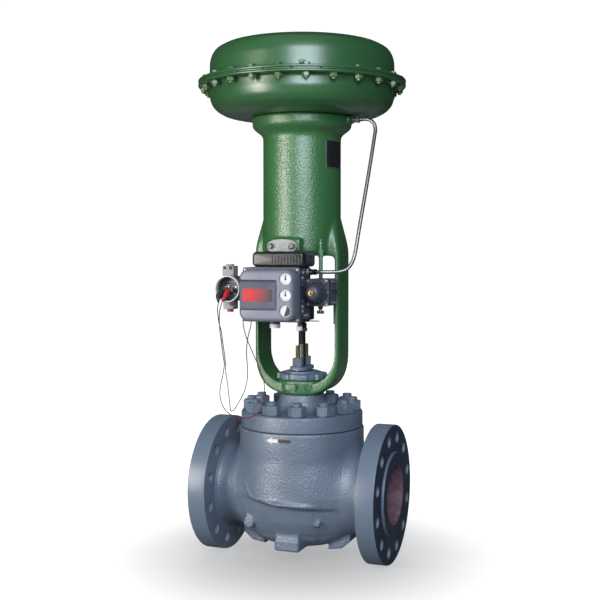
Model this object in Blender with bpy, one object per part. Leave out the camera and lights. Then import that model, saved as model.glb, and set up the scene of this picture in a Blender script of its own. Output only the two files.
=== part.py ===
"""Globe control valve with a spring-and-diaphragm actuator and a digital positioner.

The pipe axis is X, the stem axis is Z, and the origin is where they meet. The positioner
faces -Y. Lengths are in metres. The valve is modelled closed, with no air in the actuator.
"""
import math

import bmesh
import bpy
from mathutils import Matrix, Vector

PI = math.pi
GAP = 0.0003

# Valve body and its line flanges
FACE_TO_FACE = 0.508
FLANGE_OD = 0.3556
FLANGE_T = 0.0477
RAISED_OD = FLANGE_OD - 0.1397
RAISED_H = 0.0064
LINE_BOLT_CIRCLE = FLANGE_OD - 0.0635
LINE_HOLE_D = 0.0286
LINE_HOLES = 12
PIPE_BORE_D = FLANGE_OD - 0.2036
HUB_R = LINE_BOLT_CIRCLE / 2 - 0.04105
BODY_TOP = 0.165
BODY_NECK_R = 0.1625
BOWL_R = 0.165
BOWL_BOTTOM = -0.143
GALLERY_R = 0.112
WEB_TOP = -0.036
WEB_T = 0.026
SEAT_BORE_R = 0.080

# Bonnet and its studs
BONNET_BASE = BODY_TOP + 0.0018
BONNET_FLANGE_T = 0.040
BONNET_FLANGE_R = 0.159
BONNET_SHOULDER = 0.2495
BONNET_TOP = 0.309
SPUD_R = 0.045
BONNET_STUDS = 12
STUD_CIRCLE_R = 0.133
STUD_R = 0.0127
STUD_NUT_AF = 0.0413
STUD_NUT_H = 0.0250
STUD_DEPTH = 0.030

# Trim and stem
VALVE_STEM_R = 0.0095
TRAVEL = 0.051
PORT_R = 0.0740
CAGE_R = 0.0925
PLUG_R = 0.0785
PACKING_R = 0.0165
PACKING_STUD_OFFSET = 0.031

# Yoke
YOKE_BASE = BONNET_SHOULDER + GAP
BOSS_TOP = 0.2885
LEG_HALF_X = 0.116
LEG_HALF_Y = 0.046
LEG_T = 0.012
ARCH_Z = 0.370
WINDOW_TOP = 0.609
BARREL_R = 0.101
BARREL_WALL = 0.013
BARREL_BASE = WINDOW_TOP + 0.0035
YOKE_TOP = 0.9655
YOKE_FLANGE_R = 0.129
WEB_UNDER_TOP = YOKE_TOP - 0.0405
LOCKNUT_R = 0.066
LOCKNUT_H = 0.016

# Actuator casings and diaphragm
SHEET = 0.005
RIM_R = 0.268
CASING_R = RIM_R - 0.029
RIM_T = 0.0065
DIAPHRAGM_T = 0.003
RIM_BASE = 1.0422
CASING_TOP = 1.160
CASING_SCREWS = 24
CASING_SCREW_CIRCLE_R = (CASING_R + RIM_R) / 2
CASING_NUT_AF = 0.019
PLATE_R = CASING_R - 0.040
PLATE_BASE = 0.992

# Actuator stem, spring and connector
ACTUATOR_STEM_R = 0.0125
SPRING_COIL_R = 0.064
SPRING_WIRE_R = 0.007
SPRING_TURNS = 6.5
SPRING_SEAT_TOP = 0.6550
CONNECTOR_BASE = 0.442
CONNECTOR_TOP = CONNECTOR_BASE + 0.060

# Positioner
BRACKET_FACE_Y = -0.1205
HOUSING_BACK_Y = BRACKET_FACE_Y - GAP
FRAME_FACE_Y = -0.212
COVER_FACE_Y = -0.2405
COVER_CENTRE = (-0.005, 0.514)
COVER_HALF = (0.0713, 0.0630)
GAUGE_X = 0.0455
GAUGE_HEIGHTS = (0.5545, 0.5160, 0.4775)
GAUGE_R = 0.0143
HOUSING_RIGHT = 0.068
HOUSING_LEFT = -0.068
HOUSING_BOTTOM = 0.455
HOUSING_TOP = 0.5825

# Terminal box, regulator and tube
TERMINAL_CENTRE = (-0.131, 0.527)
TERMINAL_R = 0.0335
REGULATOR_CENTRE = (0.0974, 0.520)
REGULATOR_FLANGE_Y = -0.1533
TUBE_R = 0.00475
TUBE_FITTING_Z = 0.5700
TUBE_TOP_Z = 0.9560
LEAD_R = 0.0012
RED_END_X = HOUSING_LEFT - 0.0005
BLACK_END_Z = HOUSING_BOTTOM - GAP

# Facets round large, middling and small turned pieces
CASING_FACETS = 32
HIDDEN_FACETS = 24
LARGE = 28
MIDDLE = 20
SMALL = 12

FINISHES = {
    "body_paint": ((0.155, 0.195, 0.235), 0.0, 0.35),
    "green_paint": ((0.035, 0.150, 0.045), 0.0, 0.25),
    "dark_green_nuts": ((0.060, 0.110, 0.045), 0.2, 0.45),
    "cover_grey": ((0.250, 0.275, 0.310), 0.0, 0.40),
    "slate": ((0.040, 0.045, 0.070), 0.0, 0.45),
    "black": ((0.012, 0.012, 0.014), 0.0, 0.45),
    "steel": ((0.60, 0.60, 0.58), 1.0, 0.30),
    "dark_steel": ((0.10, 0.10, 0.10), 0.9, 0.40),
    "brass": ((0.70, 0.50, 0.20), 1.0, 0.30),
    "graphite": ((0.03, 0.03, 0.03), 0.1, 0.60),
    "rubber": ((0.015, 0.015, 0.015), 0.0, 0.70),
    "white_plastic": ((0.80, 0.80, 0.78), 0.0, 0.40),
    "silver_paint": ((0.55, 0.56, 0.57), 0.3, 0.45),
    "red_rubber": ((0.55, 0.02, 0.02), 0.0, 0.45),
}


def clear_scene():
    for obj in list(bpy.data.objects):
        bpy.data.objects.remove(obj, do_unlink=True)


def finish(obj, kind):
    """Give the object a material of its own in one of the finishes."""
    colour, metallic, roughness = FINISHES[kind]
    material = bpy.data.materials.new(f"{obj.name}_{kind}")
    material.use_nodes = True
    shader = material.node_tree.nodes["Principled BSDF"]
    shader.inputs["Base Color"].default_value = (*colour, 1.0)
    shader.inputs["Metallic"].default_value = metallic
    shader.inputs["Roughness"].default_value = roughness
    obj.data.materials.append(material)


def to_object(name, bm, kind=None, location=(0.0, 0.0, 0.0), rotation=(0.0, 0.0, 0.0), parent=None):
    bmesh.ops.recalc_face_normals(bm, faces=bm.faces)
    mesh = bpy.data.meshes.new(name)
    bm.to_mesh(mesh)
    bm.free()
    mesh.shade_smooth()
    mesh.set_sharp_from_angle(angle=math.radians(32))
    obj = bpy.data.objects.new(name, mesh)
    bpy.context.collection.objects.link(obj)
    obj.location = location
    obj.rotation_euler = rotation
    obj.parent = parent
    if kind:
        finish(obj, kind)
    return obj


def add_boolean(obj, bm, operation, label):
    """Cut the shapes in bm from obj, or weld them to it; bm is in obj's own frame."""
    tool = to_object(f"tool_{obj.name}_{label}", bm)
    tool.hide_render = True
    tool.display_type = "WIRE"
    tool.parent = obj
    modifier = obj.modifiers.new(label, "BOOLEAN")
    modifier.operation = operation
    modifier.solver = "EXACT"
    modifier.object = tool


def cut(obj, bm, label):
    add_boolean(obj, bm, "DIFFERENCE", label)


def weld(obj, bm, label):
    add_boolean(obj, bm, "UNION", label)


def bridge(bm, ring, following):
    """Fill the strip between two closed rings; a ring of one point is an apex."""
    count = max(len(ring), len(following))
    for i in range(count):
        j = (i + 1) % count
        if len(ring) == 1 and len(following) == 1:
            return
        if len(ring) == 1:
            bm.faces.new((ring[0], following[j], following[i]))
        elif len(following) == 1:
            bm.faces.new((ring[i], ring[j], following[0]))
        else:
            bm.faces.new((ring[i], ring[j], following[j], following[i]))


def turned(bm, outline, segments, frame=Matrix(), phase=0.0):
    """A solid turned about Z from a closed outline of (radius, height) points."""
    rings = []
    for radius, height in outline:
        if radius == 0.0:
            rings.append([bm.verts.new(frame @ Vector((0.0, 0.0, height)))])
            continue
        ring = []
        for i in range(segments):
            angle = phase + 2 * PI * i / segments
            point = Vector((radius * math.cos(angle), radius * math.sin(angle), height))
            ring.append(bm.verts.new(frame @ point))
        rings.append(ring)
    for ring, following in zip(rings, rings[1:] + rings[:1]):
        bridge(bm, ring, following)


def cylinder(bm, radius, low, high, segments, frame=Matrix(), phase=0.0):
    turned(bm, [(0.0, low), (radius, low), (radius, high), (0.0, high)], segments, frame, phase)


def flats_clear(radius, facets):
    """Radius of a faceted hole whose flats lie at the given radius."""
    return radius / math.cos(PI / facets)


def lofted(bm, rings, frame=Matrix()):
    """A solid through closed rings of equally many points, with a flat face at each end."""
    made = [[bm.verts.new(frame @ Vector(point)) for point in ring] for ring in rings]
    for ring, following in zip(made, made[1:]):
        bridge(bm, ring, following)
    bm.faces.new(made[0])
    bm.faces.new(list(reversed(made[-1])))


def round_ring(radius, z, count):
    angles = [PI / 6 + 2 * PI * i / count for i in range(count)]
    return [(radius * math.cos(angle), radius * math.sin(angle), z) for angle in angles]


def hex_ring(across_flats, z, count):
    """Points round a hexagon; count is a multiple of 6, so that every corner has a point."""
    ring = []
    for i in range(count):
        angle = PI / 6 + 2 * PI * i / count
        from_flat = (angle + PI / 6) % (PI / 3) - PI / 6
        radius = across_flats / 2 / math.cos(from_flat)
        ring.append((radius * math.cos(angle), radius * math.sin(angle), z))
    return ring


def rounded_ring(half_x, half_y, corner, z, count=16, centre=(0.0, 0.0)):
    """Points round a rectangle with rounded corners; corner = half_x = half_y gives a circle."""
    per_corner = count // 4
    ring = []
    for quarter, (side_x, side_y) in enumerate(((1, 1), (-1, 1), (-1, -1), (1, -1))):
        for i in range(per_corner):
            angle = (quarter + (i + 0.5) / per_corner) * PI / 2
            x = side_x * (half_x - corner) + corner * math.cos(angle)
            y = side_y * (half_y - corner) + corner * math.sin(angle)
            ring.append((centre[0] + x, centre[1] + y, z))
    return ring


def along_y(y=0.0, x=0.0, z=0.0):
    """The frame in which local X, Y, Z run along world X, world Z and world -Y."""
    return Matrix.Translation((x, y, z)) @ Matrix.Rotation(PI / 2, 4, "X")


def along_x(x=0.0, y=0.0, z=0.0):
    """The frame in which local Z runs along world X."""
    return Matrix.Translation((x, y, z)) @ Matrix.Rotation(PI / 2, 4, "Y")


def block(bm, low, high, bevel=0.0, segments=1):
    """A box between two corners, with every edge bevelled."""
    size = [b - a for a, b in zip(low, high)]
    centre = [(a + b) / 2 for a, b in zip(low, high)]
    frame = Matrix.Translation(centre) @ Matrix.Diagonal((*size, 1.0))
    made = bmesh.ops.create_cube(bm, size=1.0, matrix=frame)
    if bevel:
        edges = {edge for vert in made["verts"] for edge in vert.link_edges}
        bmesh.ops.bevel(bm, geom=list(edges), offset=bevel, segments=segments, affect="EDGES")


def fastener(bm, levels, count=12, frame=Matrix()):
    """A turned and hexagonal piece from (kind, size, z) levels; size is a radius or a width."""
    rings = []
    for kind, size, z in levels:
        make = hex_ring if kind == "hex" else round_ring
        rings.append(make(size, z, count))
    lofted(bm, rings, frame)


def around(count, radius, start):
    """Angles and centres of equally spaced places on a circle round Z."""
    for k in range(count):
        angle = start + 2 * PI * k / count
        yield angle, radius * math.cos(angle), radius * math.sin(angle)


def smooth_route(route, samples):
    """Evenly spaced points of a smooth curve through the route's points."""
    points = [Vector(p) for p in route]
    points = [2 * points[0] - points[1]] + points + [2 * points[-1] - points[-2]]
    dense = []
    for a, b, c, d in zip(points, points[1:], points[2:], points[3:]):
        for step in range(40):
            t = step / 40
            dense.append(
                0.5 * (2 * b + (c - a) * t + (2 * a - 5 * b + 4 * c - d) * t**2
                       + (3 * b - a - 3 * c + d) * t**3)
            )
    dense.append(points[-2])
    lengths = [0.0]
    for first, second in zip(dense, dense[1:]):
        lengths.append(lengths[-1] + (second - first).length)
    result = []
    index = 0
    for k in range(samples):
        wanted = lengths[-1] * k / (samples - 1)
        while index < len(lengths) - 2 and lengths[index + 1] < wanted:
            index += 1
        span = lengths[index + 1] - lengths[index]
        share = (wanted - lengths[index]) / span
        result.append(dense[index].lerp(dense[index + 1], min(share, 1.0)))
    return result


def swept_tube(name, points, radius, kind, resolution=2):
    """A round rod along the points, closed at both ends."""
    curve = bpy.data.curves.new(name, "CURVE")
    curve.dimensions = "3D"
    curve.bevel_depth = radius
    curve.bevel_resolution = resolution
    curve.use_fill_caps = True
    spline = curve.splines.new("POLY")
    spline.points.add(len(points) - 1)
    for place, point in zip(spline.points, points):
        place.co = (*point, 1.0)
    obj = bpy.data.objects.new(name, curve)
    bpy.context.collection.objects.link(obj)
    finish(obj, kind)


def pivot(name, location):
    """An empty on a joint's axis, which carries the pieces that move together."""
    empty = bpy.data.objects.new(name, None)
    empty.location = location
    bpy.context.collection.objects.link(empty)
    return empty


def body_shell_outline():
    """Outer outline of the cast bowl and neck, from the bottom centre to the top centre."""
    return [
        (0.0, BOWL_BOTTOM),
        (0.070, BOWL_BOTTOM),
        (0.108, BOWL_BOTTOM + 0.012),
        (0.136, BOWL_BOTTOM + 0.038),
        (0.151, BOWL_BOTTOM + 0.075),
        (0.158, BOWL_BOTTOM + 0.112),
        (BOWL_R, 0.0),
        (BOWL_R - 0.003, 0.045),
        (BOWL_R - 0.008, 0.090),
        (BODY_NECK_R, 0.130),
        (BODY_NECK_R, BODY_TOP),
        (0.0, BODY_TOP),
    ]


def line_flange_outline():
    """Outer outline of the pipe run, from one flange face to the other."""
    face = FACE_TO_FACE / 2
    rim = face - RAISED_H
    back = rim - FLANGE_T
    edge = 0.003
    half = [
        (0.0, face),
        (RAISED_OD / 2, face),
        (RAISED_OD / 2, rim),
        (FLANGE_OD / 2 - edge, rim),
        (FLANGE_OD / 2, rim - edge),
        (FLANGE_OD / 2, back + edge),
        (FLANGE_OD / 2 - edge, back),
        (HUB_R + 0.017, back),
        (HUB_R + 0.006, back - 0.006),
        (HUB_R, back - 0.028),
        (HUB_R + 0.004, back - 0.060),
        (HUB_R + 0.021, back - 0.097),
        (HUB_R + 0.030, back - 0.130),
    ]
    return half + [(radius, -x) for radius, x in reversed(half)]


def body_bosses(bm):
    """Feet, the overhanging lip on the front and the small boss on the lower left."""
    block(bm, (-0.039, -0.118, -0.1405), (0.041, -0.050, -0.103), 0.005)
    lip = [
        rounded_ring(0.058, 0.046, 0.044, -0.022, 24, (0.030, -0.1215)),
        rounded_ring(0.068, 0.050, 0.048, -0.014, 24, (0.030, -0.1215)),
        rounded_ring(0.070, 0.051, 0.048, -0.007, 24, (0.030, -0.1215)),
        rounded_ring(0.060, 0.040, 0.038, 0.004, 24, (0.030, -0.1215)),
    ]
    lofted(bm, lip)
    for side in (-1, 1):
        foot = [(0.086, -0.147), (0.124, -0.141), (0.147, -0.121), (0.150, -0.096), (0.110, -0.080)]
        rings = [[(side * x, y, z) for x, z in foot] for y in (-0.045, 0.045)]
        lofted(bm, rings)
    cylinder(bm, 0.0095, 0.0, 0.035, 16, along_y(-0.090, -0.106, -0.066))


def passage_rings(stations, count=14):
    """Rings of a curved passage; a station is x, z, tilt in degrees, half width, half height."""
    rings = []
    for x, z, tilt, half_width, half_height in stations:
        lean = math.radians(tilt)
        ring = []
        for i in range(count):
            angle = 2 * PI * i / count
            up = half_height * math.sin(angle)
            across = half_width * math.cos(angle)
            ring.append((x - up * math.sin(lean), across, z + up * math.cos(lean)))
        rings.append(ring)
    return rings


def body_passages():
    """The inlet rises from +X into the gallery; the outlet leaves under the seat web to -X."""
    bore = PIPE_BORE_D / 2
    beyond = FACE_TO_FACE / 2 + 0.010
    inlet = [
        (beyond, 0.0, 0, bore, bore),
        (0.225, 0.0, 0, bore, bore),
        (0.170, 0.005, -8, bore - 0.001, bore - 0.009),
        (0.110, 0.022, -10, bore + 0.004, bore - 0.025),
        (0.060, 0.030, 0, bore + 0.004, bore - 0.032),
    ]
    outlet = [
        (0.010, -0.094, 0, bore - 0.004, 0.0270),
        (-0.060, -0.093, 0, bore - 0.001, 0.0285),
        (-0.104, -0.082, -30, bore, 0.0300),
        (-0.137, -0.055, -42, bore, bore - 0.0375),
        (-0.170, -0.026, -32, bore, bore - 0.0200),
        (-0.200, -0.009, -16, bore, bore - 0.0070),
        (-0.228, 0.0, 0, bore, bore),
        (-beyond, 0.0, 0, bore, bore),
    ]
    return inlet, outlet


def make_valve_body():
    bm = bmesh.new()
    turned(bm, body_shell_outline(), LARGE)
    body = to_object("valve_body", bm, "body_paint")

    bm = bmesh.new()
    turned(bm, line_flange_outline(), LARGE, along_x())
    weld(body, bm, "pipe_run")

    bm = bmesh.new()
    body_bosses(bm)
    weld(body, bm, "bosses")

    bm = bmesh.new()
    cylinder(bm, GALLERY_R, WEB_TOP, BODY_TOP + 0.01, LARGE)
    cut(body, bm, "gallery")

    lower_top = WEB_TOP - WEB_T
    bm = bmesh.new()
    turned(bm, [
        (0.0, BOWL_BOTTOM + 0.018), (0.060, BOWL_BOTTOM + 0.018), (0.088, BOWL_BOTTOM + 0.045),
        (0.088, lower_top - 0.008), (SEAT_BORE_R, lower_top),
        (SEAT_BORE_R, WEB_TOP + 0.01), (0.0, WEB_TOP + 0.01),
    ], MIDDLE)
    cut(body, bm, "seat_bore")

    for label, stations in zip(("inlet", "outlet"), body_passages()):
        bm = bmesh.new()
        lofted(bm, passage_rings(stations))
        cut(body, bm, label)

    bm = bmesh.new()
    face = FACE_TO_FACE / 2
    for side in (-1, 1):
        for angle, y, z in around(LINE_HOLES, LINE_BOLT_CIRCLE / 2, PI / LINE_HOLES):
            frame = along_x(side * (face - FLANGE_T / 2), y, z)
            cylinder(bm, LINE_HOLE_D / 2, -0.045, 0.045, 8, frame)
    for angle, x, y in around(BONNET_STUDS, STUD_CIRCLE_R, PI / BONNET_STUDS):
        bottom = BODY_TOP - STUD_DEPTH - GAP
        cylinder(bm, STUD_R + 0.0022, bottom, BODY_TOP + 0.01, 6, Matrix.Translation((x, y, 0.0)))
    cut(body, bm, "holes")


def make_seat_ring():
    """A ring in the web's bore, with a flange on the web and the conical seat on its lip."""
    top = WEB_TOP + GAP + 0.010
    bm = bmesh.new()
    turned(bm, [
        (PORT_R, WEB_TOP - WEB_T + 0.002), (SEAT_BORE_R - GAP - 0.002, WEB_TOP - WEB_T + 0.002),
        (SEAT_BORE_R - GAP, WEB_TOP - WEB_T + 0.004), (SEAT_BORE_R - GAP, WEB_TOP + GAP),
        (CAGE_R, WEB_TOP + GAP), (CAGE_R, top), (PLUG_R + 0.0012, top), (PORT_R, top - 0.006),
    ], MIDDLE)
    to_object("seat_ring", bm, "steel")


def make_cage():
    """The cage stands on the seat ring and guides the plug; four windows let the flow in."""
    base = WEB_TOP + 2 * GAP + 0.010
    top = BONNET_BASE - 0.0193 - GAP
    bm = bmesh.new()
    turned(bm, [(PLUG_R + 0.001, base), (CAGE_R, base), (CAGE_R, top), (PLUG_R + 0.001, top)], MIDDLE)
    cage = to_object("valve_cage", bm, "steel")
    bm = bmesh.new()
    for angle, x, y in around(4, CAGE_R, PI / 4):
        window = Matrix.Rotation(angle, 4, "Z") @ Matrix.Rotation(PI / 2, 4, "Y")
        mid = base + 0.010 + TRAVEL / 2
        rings = [rounded_ring(TRAVEL / 2, 0.030, 0.012, out, 16, (-mid, 0.0)) for out in (0.050, 0.110)]
        lofted(bm, rings, window)
    cut(cage, bm, "windows")


def make_plug(stem_group):
    base = WEB_TOP + GAP + 0.0045
    top = base + 0.088
    bm = bmesh.new()
    turned(bm, [
        (0.0, base), (PORT_R - 0.0012, base),
        (PLUG_R, base + 0.0065), (PLUG_R, top - 0.020), (PLUG_R - 0.003, top - 0.0195),
        (PLUG_R - 0.003, top - 0.0145), (PLUG_R, top - 0.014), (PLUG_R, top),
        (0.050, top), (0.044, top - 0.012),
        (VALVE_STEM_R + 2 * GAP, top - 0.012), (VALVE_STEM_R + 2 * GAP, base + 0.040), (0.0, base + 0.040),
    ], MIDDLE)
    to_object("valve_plug", bm, "steel", parent=stem_group)
    return base + 0.040


def make_bonnet():
    """Bonnet: guide spigot, bolted flange, conical neck and the spud that carries the yoke."""
    flange_top = BONNET_BASE + BONNET_FLANGE_T
    spigot = BONNET_BASE - 0.0193
    bore = VALVE_STEM_R + 0.0007
    bm = bmesh.new()
    turned(bm, [
        (bore, spigot + 0.030), (0.060, spigot + 0.024), (0.072, spigot), (GALLERY_R - 0.0005, spigot),
        (GALLERY_R - 0.0005, BONNET_BASE), (BONNET_FLANGE_R, BONNET_BASE),
        (BONNET_FLANGE_R, flange_top - 0.004), (BONNET_FLANGE_R - 0.004, flange_top),
        (0.078, flange_top), (0.066, flange_top + 0.012), (0.059, flange_top + 0.028),
        (0.058, BONNET_SHOULDER), (SPUD_R, BONNET_SHOULDER), (SPUD_R, BONNET_TOP),
        (PACKING_R, BONNET_TOP), (PACKING_R, BONNET_SHOULDER),
        (bore, BONNET_SHOULDER),
    ], LARGE)
    bonnet = to_object("bonnet", bm, "body_paint")
    bm = bmesh.new()
    for angle, x, y in around(BONNET_STUDS, STUD_CIRCLE_R, PI / BONNET_STUDS):
        cylinder(bm, STUD_R + 0.0012, BONNET_BASE - 0.01, flange_top + 0.01, 8, Matrix.Translation((x, y, 0)))
    for side in (-1, 1):
        frame = Matrix.Translation((0.0, side * PACKING_STUD_OFFSET, 0.0))
        cylinder(bm, 0.00625 + 2 * GAP, BONNET_TOP - 0.020, BONNET_TOP + 0.01, 8, frame)
    cut(bonnet, bm, "stud_holes")


def make_gasket():
    bm = bmesh.new()
    low = BODY_TOP + GAP
    high = BONNET_BASE - GAP
    turned(bm, [(GALLERY_R + 0.0006, low), (0.1194, low), (0.1194, high), (GALLERY_R + 0.0006, high)], LARGE)
    to_object("bonnet_gasket", bm, "graphite")


def make_bonnet_studs():
    """Each stud screws into the body and carries one heavy hexagon nut."""
    seat = BONNET_BASE + BONNET_FLANGE_T + GAP
    top = seat + STUD_NUT_H
    end = top + 0.009
    for k, (angle, x, y) in enumerate(around(BONNET_STUDS, STUD_CIRCLE_R, PI / BONNET_STUDS)):
        bm = bmesh.new()
        fastener(bm, [
            ("round", STUD_R, BODY_TOP - STUD_DEPTH),
            ("round", STUD_R, seat),
            ("hex", STUD_NUT_AF, seat),
            ("hex", STUD_NUT_AF, top),
            ("round", STUD_R, top),
            ("round", STUD_R, end),
        ])
        to_object(f"bonnet_stud_{k + 1:02d}", bm, "body_paint", (x, y, 0.0), (0.0, 0.0, angle + 0.35 * k))


def make_packing():
    """V-rings in the box, the flange that loads them, and its two studs with their nuts."""
    bore = VALVE_STEM_R + GAP
    wall = PACKING_R - GAP
    low = BONNET_SHOULDER + GAP
    pitch = 0.0130
    rings = 3
    outer = []
    for k in range(rings):
        foot = low + k * pitch
        outer += [(wall - 0.0012, foot), (wall, foot + 0.0015), (wall, foot + pitch - 0.0006)]
    top = outer[-1][1]
    bm = bmesh.new()
    turned(bm, [(bore, low)] + outer + [(wall - 0.0012, top + 0.0006), (bore, top + 0.0006)], SMALL)
    to_object("packing_rings", bm, "graphite")

    follower = top + 0.0006 + GAP
    flange_low = BONNET_TOP + 0.003
    flange_high = flange_low + 0.009
    bm = bmesh.new()
    lofted(bm, [rounded_ring(0.024, 0.046, 0.0235, z, 24) for z in (flange_low, flange_high)])
    flange = to_object("packing_flange", bm, "body_paint")
    bm = bmesh.new()
    cylinder(bm, wall, follower, flange_high - 0.003, SMALL)
    weld(flange, bm, "follower")
    bm = bmesh.new()
    cylinder(bm, bore + 0.0004, follower - 0.01, flange_high + 0.01, SMALL)
    for side in (-1, 1):
        frame = Matrix.Translation((0.0, side * PACKING_STUD_OFFSET, 0.0))
        cylinder(bm, 0.00625 + 0.0005, flange_low - 0.01, flange_high + 0.01, 12, frame)
    cut(flange, bm, "bores")

    nut = flange_high + GAP
    nut_top = nut + 0.0225
    end = nut_top + 0.033
    for k, side in enumerate((-1, 1)):
        bm = bmesh.new()
        fastener(bm, [
            ("round", 0.00625, BONNET_TOP - 0.0195), ("round", 0.00625, nut), ("hex", 0.0250, nut),
            ("hex", 0.0250, nut_top - 0.002), ("round", 0.0120, nut_top), ("round", 0.00625, nut_top),
            ("round", 0.00625, end - 0.0012), ("round", 0.0050, end),
        ], 6)
        place = (0.0, side * PACKING_STUD_OFFSET, 0.0)
        to_object(f"packing_stud_{k + 1}", bm, "brass", place, (0.0, 0.0, 0.3 * k))


def make_locknut():
    """The lugged nut that clamps the yoke to the bonnet's spud."""
    low = BOSS_TOP + GAP
    high = low + LOCKNUT_H
    bore = flats_clear(SPUD_R + GAP, MIDDLE)
    bm = bmesh.new()
    turned(bm, [
        (bore, low), (LOCKNUT_R - 0.006, low),
        (LOCKNUT_R - 0.006, high - 0.003), (LOCKNUT_R - 0.010, high), (bore, high),
    ], MIDDLE)
    nut = to_object("yoke_locknut", bm, "body_paint")
    bm = bmesh.new()
    for angle, x, y in around(8, LOCKNUT_R - 0.010, PI / 8):
        frame = Matrix.Translation((x, y, 0.0)) @ Matrix.Rotation(angle, 4, "Z")
        half = LOCKNUT_H / 2 - 0.0008
        rings = [rounded_ring(0.010, 0.011, 0.003, (low + high) / 2 + end * half, 8) for end in (-1, 1)]
        lofted(bm, rings, frame)
    weld(nut, bm, "lugs")


def arch_half_width(z, centre, depth, width, power):
    """Half width of a U-shaped arch at height z; the arch is straight above its centre."""
    below = max(centre - z, 0.0) / depth
    return width * max(1.0 - below**power, 0.0) ** (1.0 / power)


def leg_rings():
    """Sections of the solid from which the two legs are left once the window is cut."""
    rings = []
    depth = ARCH_Z - YOKE_BASE + 0.0006
    for z in (YOKE_BASE, 0.2525, 0.2580, 0.2675, 0.2810, 0.2990, 0.3250):
        half = arch_half_width(z, ARCH_Z, depth, LEG_HALF_X, 2.8)
        rings.append(rounded_ring(max(half, 0.035), LEG_HALF_Y - 0.001, 0.010, z))
    rings.append(rounded_ring(LEG_HALF_X, LEG_HALF_Y, 0.010, ARCH_Z))
    rings.append(rounded_ring(LEG_HALF_X, LEG_HALF_Y, 0.010, WINDOW_TOP))
    flare = ((0.030, 0.0015, 0.012), (0.055, 0.007, 0.015), (0.080, 0.017, 0.018), (0.104, 0.034, 0.020))
    for rise, narrower, corner in flare:
        rings.append(rounded_ring(LEG_HALF_X - narrower, LEG_HALF_Y + 0.002, corner, WINDOW_TOP + rise))
    return rings


def window_outline():
    """The window seen from the front: flat top with round corners, U-shaped bottom."""
    half = LEG_HALF_X - LEG_T
    corner = 0.009
    sill = BOSS_TOP - 0.014
    depth = ARCH_Z - sill
    side = []
    for angle in (0.0, PI / 6, PI / 3, PI / 2):
        side.append((half - corner * (1 - math.sin(angle)), WINDOW_TOP - corner * (1 - math.cos(angle))))
    steps = 9
    for k in range(steps):
        angle = PI / 2 * k / steps
        z = ARCH_Z - depth * math.sin(angle)
        side.append((arch_half_width(z, ARCH_Z, depth, half, 2.4), z))
    return side + [(-x, z) for x, z in reversed(side)]


def make_yoke():
    bm = bmesh.new()
    lofted(bm, leg_rings())
    yoke = to_object("yoke", bm, "green_paint")

    bm = bmesh.new()
    outline = window_outline()
    lofted(bm, [[(x, y, z) for x, z in outline] for y in (-0.070, 0.070)])
    cut(yoke, bm, "window")

    bm = bmesh.new()
    turned(bm, [
        (0.0, BARREL_BASE), (BARREL_R - 0.010, BARREL_BASE), (BARREL_R - 0.003, BARREL_BASE + 0.003),
        (BARREL_R, BARREL_BASE + 0.011), (BARREL_R, YOKE_TOP - 0.060), (BARREL_R + 0.002, YOKE_TOP - 0.042),
        (BARREL_R + 0.009, YOKE_TOP - 0.029), (BARREL_R + 0.022, YOKE_TOP - 0.0205),
        (YOKE_FLANGE_R, YOKE_TOP - 0.0175), (YOKE_FLANGE_R, YOKE_TOP), (0.0, YOKE_TOP),
    ], LARGE)
    turned(bm, [
        (0.0, YOKE_BASE + 0.0002), (0.058, YOKE_BASE + 0.0002), (0.0605, YOKE_BASE + 0.004),
        (0.0605, BOSS_TOP - 0.003), (0.0575, BOSS_TOP), (0.0, BOSS_TOP),
    ], MIDDLE)
    weld(yoke, bm, "barrel_and_boss")

    bm = bmesh.new()
    block(bm, (-0.046, -0.1137, 0.618), (0.036, -0.080, 0.653), 0.006)
    block(bm, (-0.026, -0.0655, 0.2605), (0.009, -0.050, 0.2825), 0.004)
    block(bm, (0.110, -0.019, YOKE_TOP - 0.019), (0.1365, 0.019, YOKE_TOP - 0.0015), 0.003)
    weld(yoke, bm, "pads")

    wall_r = BARREL_R - BARREL_WALL
    boss_bore = flats_clear(SPUD_R + GAP, MIDDLE)
    bm = bmesh.new()
    turned(bm, [
        (0.0, WINDOW_TOP - 0.050), (0.0275, WINDOW_TOP - 0.050), (0.0275, WINDOW_TOP + 0.023),
        (wall_r, WINDOW_TOP + 0.023), (wall_r, WEB_UNDER_TOP), (0.040, WEB_UNDER_TOP),
        (0.040, YOKE_TOP + 0.020), (0.0, YOKE_TOP + 0.020),
    ], MIDDLE)
    turned(bm, [
        (0.0, YOKE_BASE - 0.010), (boss_bore, YOKE_BASE - 0.010), (boss_bore, BOSS_TOP + 0.010),
        (0.0, BOSS_TOP + 0.010),
    ], MIDDLE)
    cut(yoke, bm, "cavities")


def make_seal_bushing():
    """The bushing in the yoke's top web guides the stem and holds the casing down."""
    seat = YOKE_TOP + SHEET + 2 * GAP
    bm = bmesh.new()
    turned(bm, [
        (ACTUATOR_STEM_R + 0.0006, WEB_UNDER_TOP - 0.007), (0.0397, WEB_UNDER_TOP - 0.007),
        (0.0397, seat), (0.055, seat), (0.055, seat + 0.006), (0.053, seat + 0.008),
        (ACTUATOR_STEM_R + 0.0006, seat + 0.008),
    ], MIDDLE)
    to_object("seal_bushing", bm, "brass")
    return seat + 0.008


def lower_casing_outline():
    floor = YOKE_TOP + GAP
    wide = CASING_R
    return [
        (0.0402, floor), (0.607 * wide, floor), (0.849 * wide, floor + 0.0100),
        (0.962 * wide, floor + 0.029), (wide, floor + 0.050), (wide, RIM_BASE),
        (RIM_R, RIM_BASE), (RIM_R, RIM_BASE + RIM_T), (wide - SHEET, RIM_BASE + RIM_T),
        (wide - SHEET, floor + 0.051), (0.946 * wide, floor + 0.0325),
        (0.841 * wide, floor + 0.0148), (0.602 * wide, floor + SHEET), (0.0402, floor + SHEET),
    ]


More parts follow.
